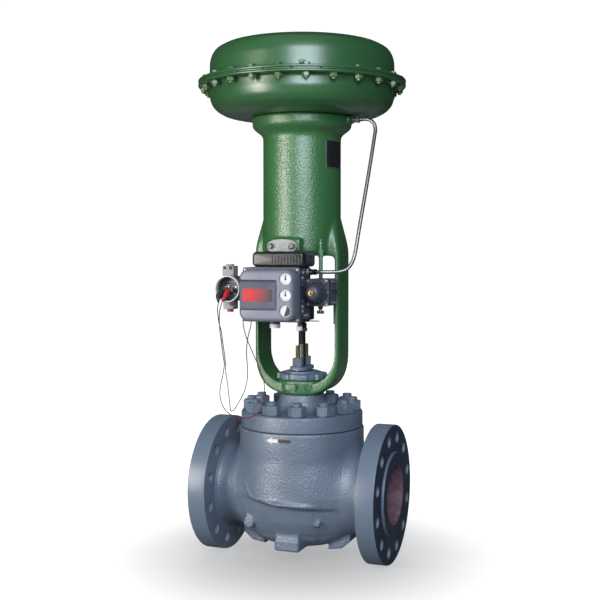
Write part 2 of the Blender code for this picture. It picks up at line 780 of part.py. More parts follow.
def casing_fasteners(bm, levels):
    for angle, x, y in around(CASING_SCREWS, CASING_SCREW_CIRCLE_R, PI / CASING_SCREWS):
        frame = Matrix.Translation((x, y, 0.0)) @ Matrix.Rotation(angle, 4, "Z")
        fastener(bm, levels, 6, frame)


def make_lower_casing():
    bm = bmesh.new()
    turned(bm, lower_casing_outline(), CASING_FACETS)
    casing = to_object("lower_casing", bm, "green_paint")
    bm = bmesh.new()
    casing_fasteners(bm, [
        ("hex", CASING_NUT_AF, RIM_BASE - 0.012), ("hex", CASING_NUT_AF, RIM_BASE + 0.002),
    ])
    weld(casing, bm, "nuts")


def make_upper_casing():
    base = RIM_BASE + RIM_T + DIAPHRAGM_T + 2 * GAP
    rim_top = base + RIM_T
    wide = CASING_R
    inner = wide - SHEET - 0.001
    top = CASING_TOP
    bm = bmesh.new()
    turned(bm, [
        (RIM_R, base), (RIM_R, rim_top), (wide, rim_top + 0.002),
        (wide - 0.001, top - 0.055), (wide - 0.006, top - 0.038), (0.937 * wide, top - 0.025),
        (0.849 * wide, top - 0.0135), (0.502 * wide, top - 0.0042), (0.0, top),
        (0.0, top - SHEET), (0.498 * wide, top - SHEET - 0.0042),
        (0.841 * wide, top - SHEET - 0.0133), (0.9226 * wide, top - 0.0290),
        (0.956 * wide, top - 0.0405), (inner, top - 0.055), (inner, base),
    ], CASING_FACETS)
    casing = to_object("upper_casing", bm, "green_paint")
    bm = bmesh.new()
    casing_fasteners(bm, [
        ("hex", CASING_NUT_AF, rim_top - 0.002), ("hex", CASING_NUT_AF - 0.001, rim_top + 0.0075),
    ])
    vent = math.radians(-69.6)
    frame = Matrix.Rotation(vent, 4, "Z") @ along_x(CASING_R - 0.003, 0.0, 1.0745)
    fastener(bm, [
        ("round", 0.0075, 0.0), ("round", 0.0075, 0.006), ("hex", 0.0160, 0.0062), ("hex", 0.0160, 0.013),
    ], 12, frame)
    weld(casing, bm, "screw_heads")


def make_diaphragm():
    """A moulded sheet: clamped at the rim, one convolution, then flat under the plate."""
    rim = RIM_BASE + RIM_T + GAP
    flat = PLATE_BASE - GAP
    t = DIAPHRAGM_T
    edge = RIM_R - 0.0015
    wall = CASING_R - SHEET
    bm = bmesh.new()
    turned(bm, [
        (0.0220, flat - t), (wall - 0.0340, flat - t), (wall - 0.0145, flat + 0.009),
        (wall - 0.0085, rim - 0.010), (wall - 0.0025, rim), (edge, rim), (edge, rim + t),
        (wall - 0.0045, rim + t), (wall - 0.0113, rim - 0.008), (wall - 0.0172, flat + 0.0110),
        (wall - 0.0347, flat), (0.0220, flat),
    ], HIDDEN_FACETS)
    to_object("diaphragm", bm, "rubber")


def make_actuator_stem(stem_group, bushing_top):
    """The stem's shoulder carries diaphragm and plate, which its top nut clamps."""
    shoulder = PLATE_BASE - DIAPHRAGM_T - 2 * GAP
    nut = PLATE_BASE + 0.020 + GAP
    end = nut + 0.030
    bm = bmesh.new()
    fastener(bm, [
        ("round", ACTUATOR_STEM_R, CONNECTOR_BASE + 0.012), ("round", ACTUATOR_STEM_R, bushing_top + 0.0025),
        ("round", 0.0450, bushing_top + 0.0025), ("round", 0.0450, shoulder),
        ("round", ACTUATOR_STEM_R, shoulder), ("round", ACTUATOR_STEM_R, nut), ("hex", 0.0380, nut),
        ("hex", 0.0380, nut + 0.017), ("round", 0.0180, nut + 0.019), ("round", ACTUATOR_STEM_R, nut + 0.019),
        ("round", ACTUATOR_STEM_R, end),
    ], 12)
    to_object("actuator_stem", bm, "steel", parent=stem_group)


def make_diaphragm_plate(stem_group):
    bore = ACTUATOR_STEM_R + GAP
    base = PLATE_BASE
    bm = bmesh.new()
    turned(bm, [
        (bore, base), (PLATE_R, base), (PLATE_R, base + 0.022), (PLATE_R - 0.005, base + 0.022),
        (PLATE_R - 0.005, base + 0.006), (0.060, base + 0.006), (0.040, base + 0.020),
        (bore, base + 0.020),
    ], HIDDEN_FACETS)
    to_object("diaphragm_plate", bm, "dark_steel", parent=stem_group)


def make_spring_seat(stem_group):
    """The lower seat and its adjuster, screwed to the stem; the adjuster hangs in the window."""
    bore = ACTUATOR_STEM_R + GAP
    seat = SPRING_SEAT_TOP - GAP
    bm = bmesh.new()
    turned(bm, [
        (0.0, seat - 0.012), (0.079, seat - 0.012), (0.079, seat), (SPRING_COIL_R - 0.014, seat),
        (SPRING_COIL_R - 0.016, seat + 0.010), (0.028, seat + 0.010), (0.0, seat + 0.010),
    ], MIDDLE)
    disc = to_object("spring_seat", bm, "dark_steel", parent=stem_group)
    bm = bmesh.new()
    rings = [hex_ring(0.0410, z, 6) for z in (seat - 0.058, seat - 0.010)]
    lofted(bm, rings)
    weld(disc, bm, "adjuster")
    bm = bmesh.new()
    cylinder(bm, bore, seat - 0.070, seat + 0.020, SMALL)
    cut(disc, bm, "bore")


def make_spring():
    """A coil between the moving seat and the yoke's top web, closed at both ends."""
    half_wire = SPRING_WIRE_R * math.cos(PI / 6)
    low = SPRING_SEAT_TOP + half_wire
    high = WEB_UNDER_TOP - GAP - half_wire
    per_turn = 9
    steps = int(SPRING_TURNS * per_turn)
    points = []
    for k in range(steps + 1):
        turn = k / per_turn
        share = min(max((turn - 0.75) / (SPRING_TURNS - 1.5), 0.0), 1.0)
        closed = 0.0155 * (min(turn, 0.75) + min(max(turn - SPRING_TURNS + 0.75, 0.0), 0.75)) / 0.75
        z = low + closed + share * (high - low - 0.031)
        angle = 2 * PI * turn
        points.append((SPRING_COIL_R * math.cos(angle), SPRING_COIL_R * math.sin(angle), z))
    swept_tube("actuator_spring", points, SPRING_WIRE_R, "dark_steel", 1)


def make_connector(stem_group):
    """Two clamped halves join the actuator stem to the valve stem."""
    split = 0.0006
    for name, side in (("connector_front", -1), ("connector_back", 1)):
        bm = bmesh.new()
        near = sorted((side * split, side * 0.0240))
        block(bm, (-0.0260, near[0], CONNECTOR_BASE), (0.0260, near[1], CONNECTOR_TOP), 0.002)
        half = to_object(name, bm, "black", parent=stem_group)
        bm = bmesh.new()
        valve_bore = VALVE_STEM_R + GAP
        stem_bore = ACTUATOR_STEM_R + GAP
        step = CONNECTOR_BASE + 0.0115
        turned(bm, [
            (0.0, CONNECTOR_BASE - 0.01), (valve_bore, CONNECTOR_BASE - 0.01), (valve_bore, step),
            (stem_bore, step), (stem_bore, CONNECTOR_TOP + 0.01), (0.0, CONNECTOR_TOP + 0.01),
        ], SMALL)
        cut(half, bm, "bore")
        if side < 0:
            bm = bmesh.new()
            for x in (-0.0190, 0.0190):
                for z in (CONNECTOR_BASE + 0.014, CONNECTOR_TOP - 0.014):
                    cylinder(bm, 0.0055, 0.0, 0.0080, 10, along_y(-0.0220, x, z))
            weld(half, bm, "screw_heads")


def make_valve_stem(stem_group, socket_floor):
    """The stem runs from the plug to the connector; its locknuts sit under the connector."""
    nut = CONNECTOR_BASE - 0.0305
    nut_top = CONNECTOR_BASE - 0.0085
    bm = bmesh.new()
    fastener(bm, [
        ("round", VALVE_STEM_R, socket_floor + GAP), ("round", VALVE_STEM_R, nut), ("hex", 0.0240, nut),
        ("hex", 0.0240, nut_top), ("round", VALVE_STEM_R, nut_top),
        ("round", VALVE_STEM_R, CONNECTOR_BASE + 0.0112),
    ], 12)
    to_object("valve_stem", bm, "steel", parent=stem_group)


def make_travel_pointer(stem_group):
    """A thin disc with one long finger, held between locknuts and connector."""
    low = CONNECTOR_BASE - 0.0050
    high = CONNECTOR_BASE - GAP
    bm = bmesh.new()
    cylinder(bm, 0.0200, low, high, 16)
    disc = to_object("travel_pointer", bm, "dark_steel", parent=stem_group)
    bm = bmesh.new()
    rings = [
        [(0.010, -0.006, z), (0.040, -0.004, z), (0.0485, 0.0, z), (0.040, 0.004, z), (0.010, 0.006, z)]
        for z in (low + 0.0010, high - 0.0015)
    ]
    lofted(bm, rings)
    weld(disc, bm, "finger")
    bm = bmesh.new()
    cylinder(bm, VALVE_STEM_R + GAP, low - 0.01, high + 0.01, SMALL)
    cut(disc, bm, "bore")


def make_magnet_bar(stem_group):
    """The feedback magnets' holder, on the connector's front, close behind the positioner."""
    back = -0.0240 - GAP
    bm = bmesh.new()
    base = CONNECTOR_BASE + 0.002
    block(bm, (-0.0110, -0.0480, base), (0.0110, back, base + 0.1080), 0.0015)
    bar = to_object("magnet_bar", bm, "dark_steel", parent=stem_group)
    bm = bmesh.new()
    block(bm, (-0.0060, -0.0640, base + 0.0020), (0.0060, -0.0400, base + 0.1060), 0.001)
    weld(bar, bm, "magnets")


def make_travel_scale():
    """A thin scale plate on the inner face of the right leg."""
    inner = LEG_HALF_X - LEG_T
    bm = bmesh.new()
    low = CONNECTOR_BASE - 0.006
    block(bm, (inner - 0.0032, -0.0440, low), (inner - GAP, -0.0180, low + 0.065), 0.0004)
    to_object("travel_scale", bm, "steel")


def lens_ring(z, half_width, half_height, count=20):
    """A lens with round tips, like the plate's ear: pointed oval in the local XY plane."""
    ring = []
    for i in range(count):
        angle = 2 * PI * (i + 0.5) / count
        x = half_width * math.copysign(abs(math.cos(angle)) ** 0.85, math.cos(angle))
        y = half_height * math.copysign(abs(math.sin(angle)) ** 0.85, math.sin(angle))
        ring.append((x, y, z))
    return ring


def make_bracket():
    """Mounting plate behind the positioner; its ear is screwed to the boss on the barrel."""
    front = -BRACKET_FACE_Y
    back = 0.1140
    bm = bmesh.new()
    lofted(bm, [lens_ring(y, 0.0405, 0.0175) for y in (back, front)], along_y(0.0, -0.0095, 0.6335))
    bracket = to_object("positioner_bracket", bm, "silver_paint")
    bm = bmesh.new()
    block(bm, (-0.0380, BRACKET_FACE_Y + 0.0002, 0.4600), (0.0190, -back - 0.0002, 0.6300), 0.0015)
    weld(bracket, bm, "plate")
    bm = bmesh.new()
    for x in (-0.0393, 0.0180):
        cylinder(bm, 0.0072, 0.0, 0.0065, 12, along_y(BRACKET_FACE_Y + 0.002, x, 0.6336))
    weld(bracket, bm, "screw_heads")


def make_housing():
    """Positioner housing with its front frame and the plugs under it."""
    bm = bmesh.new()
    frame = [rounded_ring(0.0745, 0.0665, 0.006, depth) for depth in (0.2015, -FRAME_FACE_Y)]
    lofted(bm, frame, along_y(0.0, -0.0020, 0.5155))
    housing = to_object("positioner_housing", bm, "slate")
    bm = bmesh.new()
    block(bm, (HOUSING_LEFT, -0.2050, HOUSING_BOTTOM), (HOUSING_RIGHT, HOUSING_BACK_Y, HOUSING_TOP), 0.003)
    weld(housing, bm, "case")
    bm = bmesh.new()
    plug_frame = Matrix.Translation((-0.0040, -0.1800, 0.0))
    cylinder(bm, 0.0125, 0.4340, HOUSING_BOTTOM + 0.002, 16, plug_frame)
    fastener(bm, [
        ("round", 0.0072, 0.4255), ("round", 0.0072, 0.4360), ("round", 0.0050, 0.4360),
        ("round", 0.0050, HOUSING_BOTTOM + 0.002),
    ], 12, Matrix.Translation((0.0483, -0.1500, 0.0)))
    for x, z in ((0.0620, 0.4690), (0.0620, 0.4990), (0.0620, 0.5400)):
        cylinder(bm, 0.0045, 0.0, 0.0120, 12, along_x(x, -0.1900, z))
    weld(housing, bm, "plugs")


def make_cover():
    """Front cover: softly rounded shell with a recessed band and three gauge pockets."""
    frame = along_y(0.0, COVER_CENTRE[0], COVER_CENTRE[1])
    back = -FRAME_FACE_Y + GAP
    face = -COVER_FACE_Y
    half_x, half_z = COVER_HALF
    steps = ((back, 0.0), (face - 0.010, 0.0), (face - 0.005, 0.0015), (face - 0.0015, 0.004), (face, 0.007))
    bm = bmesh.new()
    rings = [rounded_ring(half_x - inset, half_z - inset, 0.022 - inset, y) for y, inset in steps]
    lofted(bm, rings, frame)
    cover = to_object("positioner_cover", bm, "cover_grey")
    band_z = 0.5153 - COVER_CENTRE[1]
    bm = bmesh.new()
    rings = [
        rounded_ring(0.0580 - inset, 0.0383 - inset, 0.003, depth, 16, (-0.0276, band_z))
        for depth, inset in ((face - 0.0042, 0.0068), (face + 0.0010, 0.0))
    ]
    lofted(bm, rings, frame)
    cut(cover, bm, "band")
    bm = bmesh.new()
    for height in GAUGE_HEIGHTS:
        cylinder(bm, GAUGE_R + 2 * GAP, face - 0.0105, face + 0.010, 20, along_y(0.0, GAUGE_X, height))
    cut(cover, bm, "gauge_pockets")


def make_gauges():
    """Two dials with a needle each, and a blank third dial."""
    names = ("supply_gauge", "output_gauge", "blank_gauge")
    for name, height in zip(names, GAUGE_HEIGHTS):
        bm = bmesh.new()
        face = 0.0035
        turned(bm, [
            (0.0, -0.0030), (GAUGE_R, -0.0030), (GAUGE_R, face + 0.0015), (GAUGE_R - 0.0010, face + 0.0015),
            (GAUGE_R - 0.0012, face), (0.0, face),
        ], 20)
        to_object(name, bm, "white_plastic", (GAUGE_X, -0.2334, height), (PI / 2, 0.0, 0.0))
    for name, height in zip(("supply_needle", "output_needle"), GAUGE_HEIGHTS):
        bm = bmesh.new()
        low = 0.0001
        lofted(bm, [
            [(-0.0007, 0.0095, z), (-0.0016, -0.0032, z), (0.0016, -0.0032, z), (0.0007, 0.0095, z)]
            for z in (low, low + 0.0008)
        ])
        needle = to_object(name, bm, "black", (GAUGE_X, -0.2334 - 0.0035 - GAP, height), (PI / 2, 0.0, 0.0))
        bm = bmesh.new()
        cylinder(bm, 0.0022, low - 0.0001, low + 0.0016, 12)
        weld(needle, bm, "hub")


def make_relay_cover():
    """Ribbed cover on top of the housing: a core with upright fins behind a solid front."""
    left, right = -0.0555, 0.0795
    low, high = HOUSING_TOP + GAP, 0.6200
    centre = ((left + right) / 2, (low + high) / 2)
    half_x, half_z = (right - left) / 2, (high - low) / 2
    frame = along_y(0.0, centre[0], centre[1])
    bm = bmesh.new()
    core = [rounded_ring(half_x - 0.0045, half_z - 0.0035, 0.006, y, 12) for y in (0.1240, 0.2000)]
    lofted(bm, core, frame)
    cover = to_object("relay_cover", bm, "black")
    bm = bmesh.new()
    front = ((0.1780, 0.0), (0.2020, 0.0), (0.2050, 0.0025))
    face = [rounded_ring(half_x - inset, half_z - inset, 0.009 - inset, y, 16) for y, inset in front]
    lofted(bm, face, frame)
    fins = 5
    for k in range(fins):
        y = 0.1230 + 0.0108 * k
        lofted(bm, [rounded_ring(half_x, half_z, 0.009, depth, 12) for depth in (y, y + 0.0050)], frame)
    weld(cover, bm, "fins")


def make_terminal_box():
    """Round box open to the front, with conduit hubs above and below and a neck to the housing."""
    x, z = TERMINAL_CENTRE
    frame = along_y(0.0, x, z)
    floor = 0.1500
    rim = 0.1850
    inner = TERMINAL_R - 0.0035
    bm = bmesh.new()
    turned(bm, [
        (0.0, 0.1250), (TERMINAL_R - 0.004, 0.1250), (TERMINAL_R - 0.001, 0.1290),
        (TERMINAL_R - 0.001, rim - 0.006), (TERMINAL_R, rim - 0.006), (TERMINAL_R, rim - 0.0005),
        (TERMINAL_R - 0.0005, rim), (inner, rim),
        (inner, floor), (0.0, floor),
    ], MIDDLE, frame)
    box = to_object("terminal_box", bm, "slate")
    bm = bmesh.new()
    block(bm, (x + inner + 0.001, -0.1700, z - 0.0200), (HOUSING_LEFT - GAP, -0.1320, z + 0.0180), 0.003)
    block(bm, (-0.1500, -0.1720, z + TERMINAL_R - 0.0035), (-0.1190, -0.1420, z + TERMINAL_R + 0.0240), 0.003)
    block(bm, (-0.1480, -0.1720, z - TERMINAL_R - 0.0180), (-0.1190, -0.1420, z - TERMINAL_R + 0.0035), 0.003)
    weld(box, bm, "neck_and_hubs")
    bm = bmesh.new()
    block(bm, (x - 0.0190, -0.1600, z - 0.0100), (x + 0.0190, -floor + 0.002, z + 0.0110), 0.001)
    cap = Matrix.Translation((-0.1345, -0.1570, 0.0))
    cylinder(bm, 0.0100, z + TERMINAL_R + 0.0225, z + TERMINAL_R + 0.0280, 12, cap)
    cylinder(bm, 0.0080, z - TERMINAL_R - 0.0250, z - TERMINAL_R - 0.0165, 12, cap)
    weld(box, bm, "terminals_and_caps")


def make_regulator():
    """Filter regulator on the positioner's right side: ribbed body and bolted spring case."""
    x, z = REGULATOR_CENTRE
    half = x - HOUSING_RIGHT - 0.0008
    frame = along_y(0.0, x, z)
    bm = bmesh.new()
    block(bm, (HOUSING_RIGHT + GAP, -0.1430, z - 0.0310), (x + 0.0270, -0.0830, z + 0.0310), 0.004)
    body = to_object("regulator_body", bm, "slate")
    bm = bmesh.new()
    seam = -REGULATOR_FLANGE_Y - 0.0060
    lofted(bm, [rounded_ring(half, 0.0340, 0.010, y, 16) for y in (0.1400, seam)], frame)
    for k in range(3):
        y = 0.0860 + 0.0180 * k
        rib = [rounded_ring(half, 0.0335, 0.006, depth, 12) for depth in (y, y + 0.0050)]
        lofted(bm, rib, frame)
    weld(body, bm, "flange_and_ribs")
    bm = bmesh.new()
    cylinder(bm, 0.0060, z - 0.0420, z - 0.0290, 16, Matrix.Translation((x - 0.0060, -0.1150, 0.0)))
    weld(body, bm, "drain_boss")

    seat = seam + GAP
    bm = bmesh.new()
    lofted(bm, [rounded_ring(half, 0.0340, 0.010, y, 16) for y in (seat, seat + 0.0060)], frame)
    case = to_object("regulator_spring_case", bm, "slate")
    bm = bmesh.new()
    turned(bm, [
        (0.0, seat + 0.004), (0.0265, seat + 0.004), (0.0265, seat + 0.014), (0.0235, seat + 0.020),
        (0.0215, seat + 0.036), (0.0195, seat + 0.044), (0.0150, seat + 0.050), (0.0090, seat + 0.0525),
        (0.0, seat + 0.0525),
    ], 20, frame)
    weld(case, bm, "dome")
    bm = bmesh.new()
    for side_x in (-1, 1):
        for up in (-1, 0, 1):
            if side_x < 0 and up == 0:
                continue
            reach = half - 0.0050 if up else half - 0.0020
            spot = along_y(0.0, x + side_x * reach, z + up * 0.0285)
            cylinder(bm, 0.0032, seat + 0.0050, seat + 0.0090, 8, spot)
    weld(case, bm, "screws")

    end = seat + 0.0525 + GAP
    bm = bmesh.new()
    fastener(bm, [
        ("round", 0.0060, 0.0), ("round", 0.0060, 0.0030), ("hex", 0.0075, 0.0030), ("hex", 0.0075, 0.0110),
        ("round", 0.0030, 0.0115), ("round", 0.0030, 0.0150),
    ], 6)
    to_object("regulator_screw", bm, "brass", (x, -end, z), (PI / 2, 0.0, 0.0))

    bm = bmesh.new()
    cylinder(bm, 0.0040, -0.0110, 0.0, 12)
    drain = to_object("drain_valve", bm, "brass", (x - 0.0060, -0.1150, z - 0.0420 - GAP))
    bm = bmesh.new()
    block(bm, (-0.0095, -0.0015, -0.0120), (0.0095, 0.0015, -0.0040), 0.0007)
    weld(drain, bm, "wings")


def tube_route():
    """From the positioner's fitting along the front, up past the yoke and in to its top flange."""
    return [
        (0.0941, -0.1480, TUBE_FITTING_Z), (0.1070, -0.1476, TUBE_FITTING_Z),
        (0.1270, -0.1400, TUBE_FITTING_Z), (0.1460, -0.1300, TUBE_FITTING_Z + 0.0012),
        (0.1620, -0.1240, 0.5770), (0.1740, -0.1185, 0.5930), (0.1810, -0.1130, 0.6200),
        (0.1860, -0.0960, 0.6800), (0.1935, -0.0520, 0.8000), (0.1985, -0.0110, 0.9080),
        (0.1985, -0.0030, 0.9300), (0.1935, -0.0005, 0.9450), (0.1820, 0.0, 0.9535),
        (0.1690, 0.0, TUBE_TOP_Z), (0.1560, 0.0, TUBE_TOP_Z),
    ]


def make_air_tube():
    swept_tube("air_tube", smooth_route(tube_route(), 34), TUBE_R, "steel", 2)

    inner = 0.1365 + GAP
    outer = 0.1560 - GAP
    bm = bmesh.new()
    fastener(bm, [
        ("round", 0.0085, 0.0), ("round", 0.0085, 0.0040),
        ("hex", 0.0190, 0.0040), ("hex", 0.0190, outer - inner),
    ], 6, along_x(inner, 0.0, TUBE_TOP_Z))
    to_object("tube_fitting_upper", bm, "steel")

    bm = bmesh.new()
    frame = along_x(HOUSING_RIGHT + GAP, -0.1480, TUBE_FITTING_Z)
    fastener(bm, [
        ("round", 0.0060, 0.0), ("round", 0.0060, 0.0040),
        ("hex", 0.0150, 0.0040), ("hex", 0.0150, 0.0130),
        ("round", 0.0060, 0.0135), ("round", 0.0060, 0.0160),
        ("hex", 0.0140, 0.0160), ("hex", 0.0140, 0.0250),
    ], 6, frame)
    to_object("tube_fitting_lower", bm, "dark_steel")


def make_vent_riser():
    """Vent pipe on the regulator's body, with a hexagon coupling and a tapered cap."""
    x = 0.0860
    base = REGULATOR_CENTRE[1] + 0.0310 + GAP
    bm = bmesh.new()
    fastener(bm, [
        ("round", 0.0050, base), ("round", 0.0050, 0.6050), ("hex", 0.0125, 0.6060), ("hex", 0.0125, 0.6240),
        ("round", 0.0045, 0.6260), ("round", 0.0035, 0.6440),
        ("round", 0.0020, 0.6460), ("round", 0.0018, 0.6510),
    ], 6, Matrix.Translation((x, -0.0975, 0.0)))
    to_object("vent_riser", bm, "green_paint")


def lead_routes():
    """Each lead leaves its clip, hangs beside the other, and turns up to the housing."""
    front = -0.2038
    behind = -0.1996
    red = [
        (-0.1344, -0.2063, 0.4959), (-0.1348, -0.2102, 0.4925), (-0.1372, -0.2110, 0.4850),
        (-0.1420, -0.2070, 0.4600), (-0.1425, front, 0.4260), (-0.1390, front, 0.4020),
        (-0.1365, front, 0.3800), (-0.1330, front, 0.3580), (-0.1305, front, 0.3360),
        (-0.1340, front, 0.3160), (-0.1400, front, 0.2900), (-0.1430, front, 0.2680),
        (-0.1390, front, 0.2460), (-0.1280, front, 0.2260), (-0.1140, front, 0.2160),
        (-0.0950, front, 0.2105), (-0.0770, -0.2030, 0.2085), (-0.0590, -0.2010, 0.2130),
        (-0.0420, -0.1985, 0.2240), (-0.0310, -0.1955, 0.2420), (-0.0270, -0.1925, 0.2650),
        (-0.0290, -0.1895, 0.2910), (-0.0350, -0.1870, 0.3130), (-0.0460, -0.1850, 0.3370),
        (-0.0590, -0.1830, 0.3620), (-0.0720, -0.1815, 0.3880), (-0.0830, -0.1800, 0.4130),
        (-0.0900, -0.1780, 0.4400), (-0.0900, -0.1770, 0.4620), (-0.0820, -0.1765, 0.4760),
        (RED_END_X, -0.1760, 0.4790),
    ]
    black = [
        (-0.1455, -0.2043, 0.4939), (-0.1455, -0.2082, 0.4903), (-0.1464, -0.2085, 0.4820),
        (-0.1475, -0.2040, 0.4660), (-0.1462, -0.2005, 0.4430), (-0.1405, behind, 0.4230),
        (-0.1375, behind, 0.4020), (-0.1345, behind, 0.3810), (-0.1310, behind, 0.3580),
        (-0.1290, behind, 0.3380), (-0.1275, behind, 0.3120), (-0.1240, behind, 0.2950),
        (-0.1205, behind, 0.2650), (-0.1165, behind, 0.2340), (-0.1135, behind, 0.2185),
        (-0.1060, -0.1990, 0.2280), (-0.0900, -0.1980, 0.2530), (-0.0790, -0.1970, 0.2760),
        (-0.0715, -0.1960, 0.3070), (-0.0715, -0.1950, 0.3330), (-0.0745, -0.1940, 0.3640),
        (-0.0735, -0.1925, 0.3950), (-0.0680, -0.1910, 0.4250), (-0.0640, -0.1900, 0.4400),
        (-0.0630, -0.1900, BLACK_END_Z),
    ]
    return red, black


def make_clip(name, kind, tip, end):
    """A crocodile clip in its soft boot: flat jaws at the tip, a slim sleeve at the lead."""
    tip, end = Vector(tip), Vector(end)
    axis = end - tip
    frame = Matrix.Translation(tip) @ axis.to_track_quat("Z", "Y").to_matrix().to_4x4()
    length = axis.length
    sections = (
        (0.0, 0.0012, 0.0022), (0.30, 0.0030, 0.0044), (0.34, 0.0048, 0.0060),
        (0.62, 0.0050, 0.0068), (0.78, 0.0036, 0.0042), (1.0, 0.0022, 0.0024),
    )
    rings = [rounded_ring(hx, hy, hx * 0.9, share * length, 8) for share, hx, hy in sections]
    bm = bmesh.new()
    lofted(bm, rings, frame)
    to_object(name, bm, kind)


def make_leads():
    red, black = lead_routes()
    swept_tube("red_lead", smooth_route(red, 34), LEAD_R, "red_rubber", 2)
    swept_tube("black_lead", smooth_route(black, 30), LEAD_R, "black", 2)
    make_clip("red_clip", "red_rubber", (-0.1300, -0.1620, 0.5350), (-0.1343, -0.2057, 0.4965))
    make_clip("black_clip", "black", (-0.1465, -0.1620, 0.5320), (-0.1455, -0.2037, 0.4945))


def build():
    clear_scene()
    make_valve_body()
    make_seat_ring()
    make_cage()
    make_bonnet()
    make_gasket()
    make_bonnet_studs()
    make_packing()
    make_locknut()
    make_yoke()
    bushing_top = make_seal_bushing()
    make_lower_casing()
    make_upper_casing()
    make_diaphragm()

    stem_group = pivot("stem_group", (0.0, 0.0, 0.0))
    socket_floor = make_plug(stem_group)
    make_valve_stem(stem_group, socket_floor)
    make_travel_pointer(stem_group)
    make_connector(stem_group)
    make_magnet_bar(stem_group)
    make_actuator_stem(stem_group, bushing_top)
    make_spring_seat(stem_group)
    make_diaphragm_plate(stem_group)
    make_spring()

    make_bracket()
    make_housing()
    make_cover()
    make_gauges()
    make_relay_cover()
    make_travel_scale()
    make_terminal_box()
    make_regulator()
    make_air_tube()
    make_vent_riser()
    make_leads()


build()
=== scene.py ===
import math

import bmesh
import bpy
import numpy as np
from mathutils import Matrix, Vector


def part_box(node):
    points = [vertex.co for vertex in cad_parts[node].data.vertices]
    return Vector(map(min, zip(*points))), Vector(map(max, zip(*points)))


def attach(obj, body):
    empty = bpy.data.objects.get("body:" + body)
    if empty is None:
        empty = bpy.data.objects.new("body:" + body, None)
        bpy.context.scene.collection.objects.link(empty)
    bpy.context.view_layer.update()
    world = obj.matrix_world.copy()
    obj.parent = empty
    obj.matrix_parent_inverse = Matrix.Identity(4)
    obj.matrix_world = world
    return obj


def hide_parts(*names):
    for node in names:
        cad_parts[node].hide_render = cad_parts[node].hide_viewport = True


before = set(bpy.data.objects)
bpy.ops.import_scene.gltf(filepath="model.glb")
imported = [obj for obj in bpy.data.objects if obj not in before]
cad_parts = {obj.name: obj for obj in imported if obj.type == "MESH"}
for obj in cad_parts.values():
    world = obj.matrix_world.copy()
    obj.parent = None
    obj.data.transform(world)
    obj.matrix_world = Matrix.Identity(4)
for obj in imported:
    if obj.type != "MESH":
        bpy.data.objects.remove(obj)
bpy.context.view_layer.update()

PI = math.pi

# Sizes shared with the CAD
FACE = 0.254
RAISED_H = 0.0064
FLANGE_T = 0.0477
FLANGE_R = 0.1778
RAISED_R = 0.10795
BORE_R = 0.076
HUB_R = 0.105
LINE_BOLT_R = 0.14605
LINE_HOLE_R = 0.0143
BODY_TOP = 0.165
BODY_NECK_R = 0.1625
BOWL_BOTTOM = -0.143
GALLERY_R = 0.112
WEB_TOP = -0.036
WEB_T = 0.026
BONNET_BASE = 0.1668
BONNET_SHOULDER = 0.2495
BONNET_TOP = 0.309
SPUD_R = 0.045
STUD_CIRCLE_R = 0.133
YOKE_BASE = 0.2498
BOSS_TOP = 0.2885
LEG_HALF_X = 0.116
LEG_HALF_Y = 0.046
LEG_T = 0.012
ARCH_Z = 0.370
WINDOW_TOP = 0.609
BARREL_R = 0.101
YOKE_TOP = 0.9655
WEB_UNDER_TOP = 0.925
CASING_R = 0.239
RIM_R = 0.268
RIM_BASE = 1.0422
RIM_T = 0.0065
CASING_TOP = 1.160
COVER_X, COVER_Z = -0.005, 0.514
COVER_FACE = 0.2405
GAUGE_X = 0.0455
GAUGE_HEIGHTS = (0.5545, 0.5160, 0.4775)
TERMINAL_X, TERMINAL_Z = -0.131, 0.527
TERMINAL_R = 0.0335
REGULATOR_X, REGULATOR_Z = 0.0974, 0.520
REGULATOR_HALF = REGULATOR_X - 0.068 - 0.0008
LEAD_R = 0.0012
CASING_SCREW_R = (CASING_R + RIM_R) / 2

# The camera fitted to the photograph: place in metres, lens in millimetres, angles in degrees
CAMERA_PLACE = (0.9460, -2.5539, 0.6203)
CAMERA_LENS = 62.53
CAMERA_DIP = 2.667
CAMERA_TURN = 20.439

FLOOR_Z = -0.1790


# Camera and light
def make_camera():
    """The photograph's view, fitted to the flanges, the casing rim and the bonnet studs."""
    data = bpy.data.cameras.new("camera")
    data.lens = CAMERA_LENS
    data.sensor_width = 36.0
    camera = bpy.data.objects.new("camera", data)
    camera.location = CAMERA_PLACE
    camera.rotation_euler = (math.radians(90 - CAMERA_DIP), 0.0, math.radians(CAMERA_TURN))
    bpy.context.scene.collection.objects.link(camera)
    bpy.context.scene.camera = camera


def softbox(name, azimuth, distance, height, size, power, colour, plain=False):
    """An area light that faces the valve's middle; a plain one shows in no picture or reflection."""
    data = bpy.data.lights.new(name, "AREA")
    data.shape = "RECTANGLE"
    data.size, data.size_y = size
    data.energy = power
    data.color = colour
    light = bpy.data.objects.new(name, data)
    angle = math.radians(azimuth)
    place = Vector((distance * math.cos(angle), distance * math.sin(angle), height))
    light.location = place
    light.rotation_euler = (Vector((0.0, 0.0, 0.55)) - place).to_track_quat("-Z", "Y").to_euler()
    light.visible_camera, light.visible_glossy = not plain, not plain
    bpy.context.scene.collection.objects.link(light)


def make_lights():
    """Softboxes at the left, in front and above, and two plain ones for the back and right side."""
    softbox("left_box", -123, 2.8, 0.45, (0.95, 2.0), 74, (1.0, 0.95, 0.89))
    softbox("front_box", -66, 3.2, 1.75, (1.8, 2.2), 116, (0.78, 0.87, 1.0))
    softbox("top_box", -90, 0.6, 3.6, (2.6, 2.6), 5, (1.0, 1.0, 1.0))
    softbox("back_box", 110, 3.0, 1.3, (2.4, 2.4), 95, (0.92, 0.95, 1.0), plain=True)
    softbox("side_box", 40, 3.2, 1.2, (1.6, 2.2), 7, (0.92, 0.95, 1.0), plain=True)


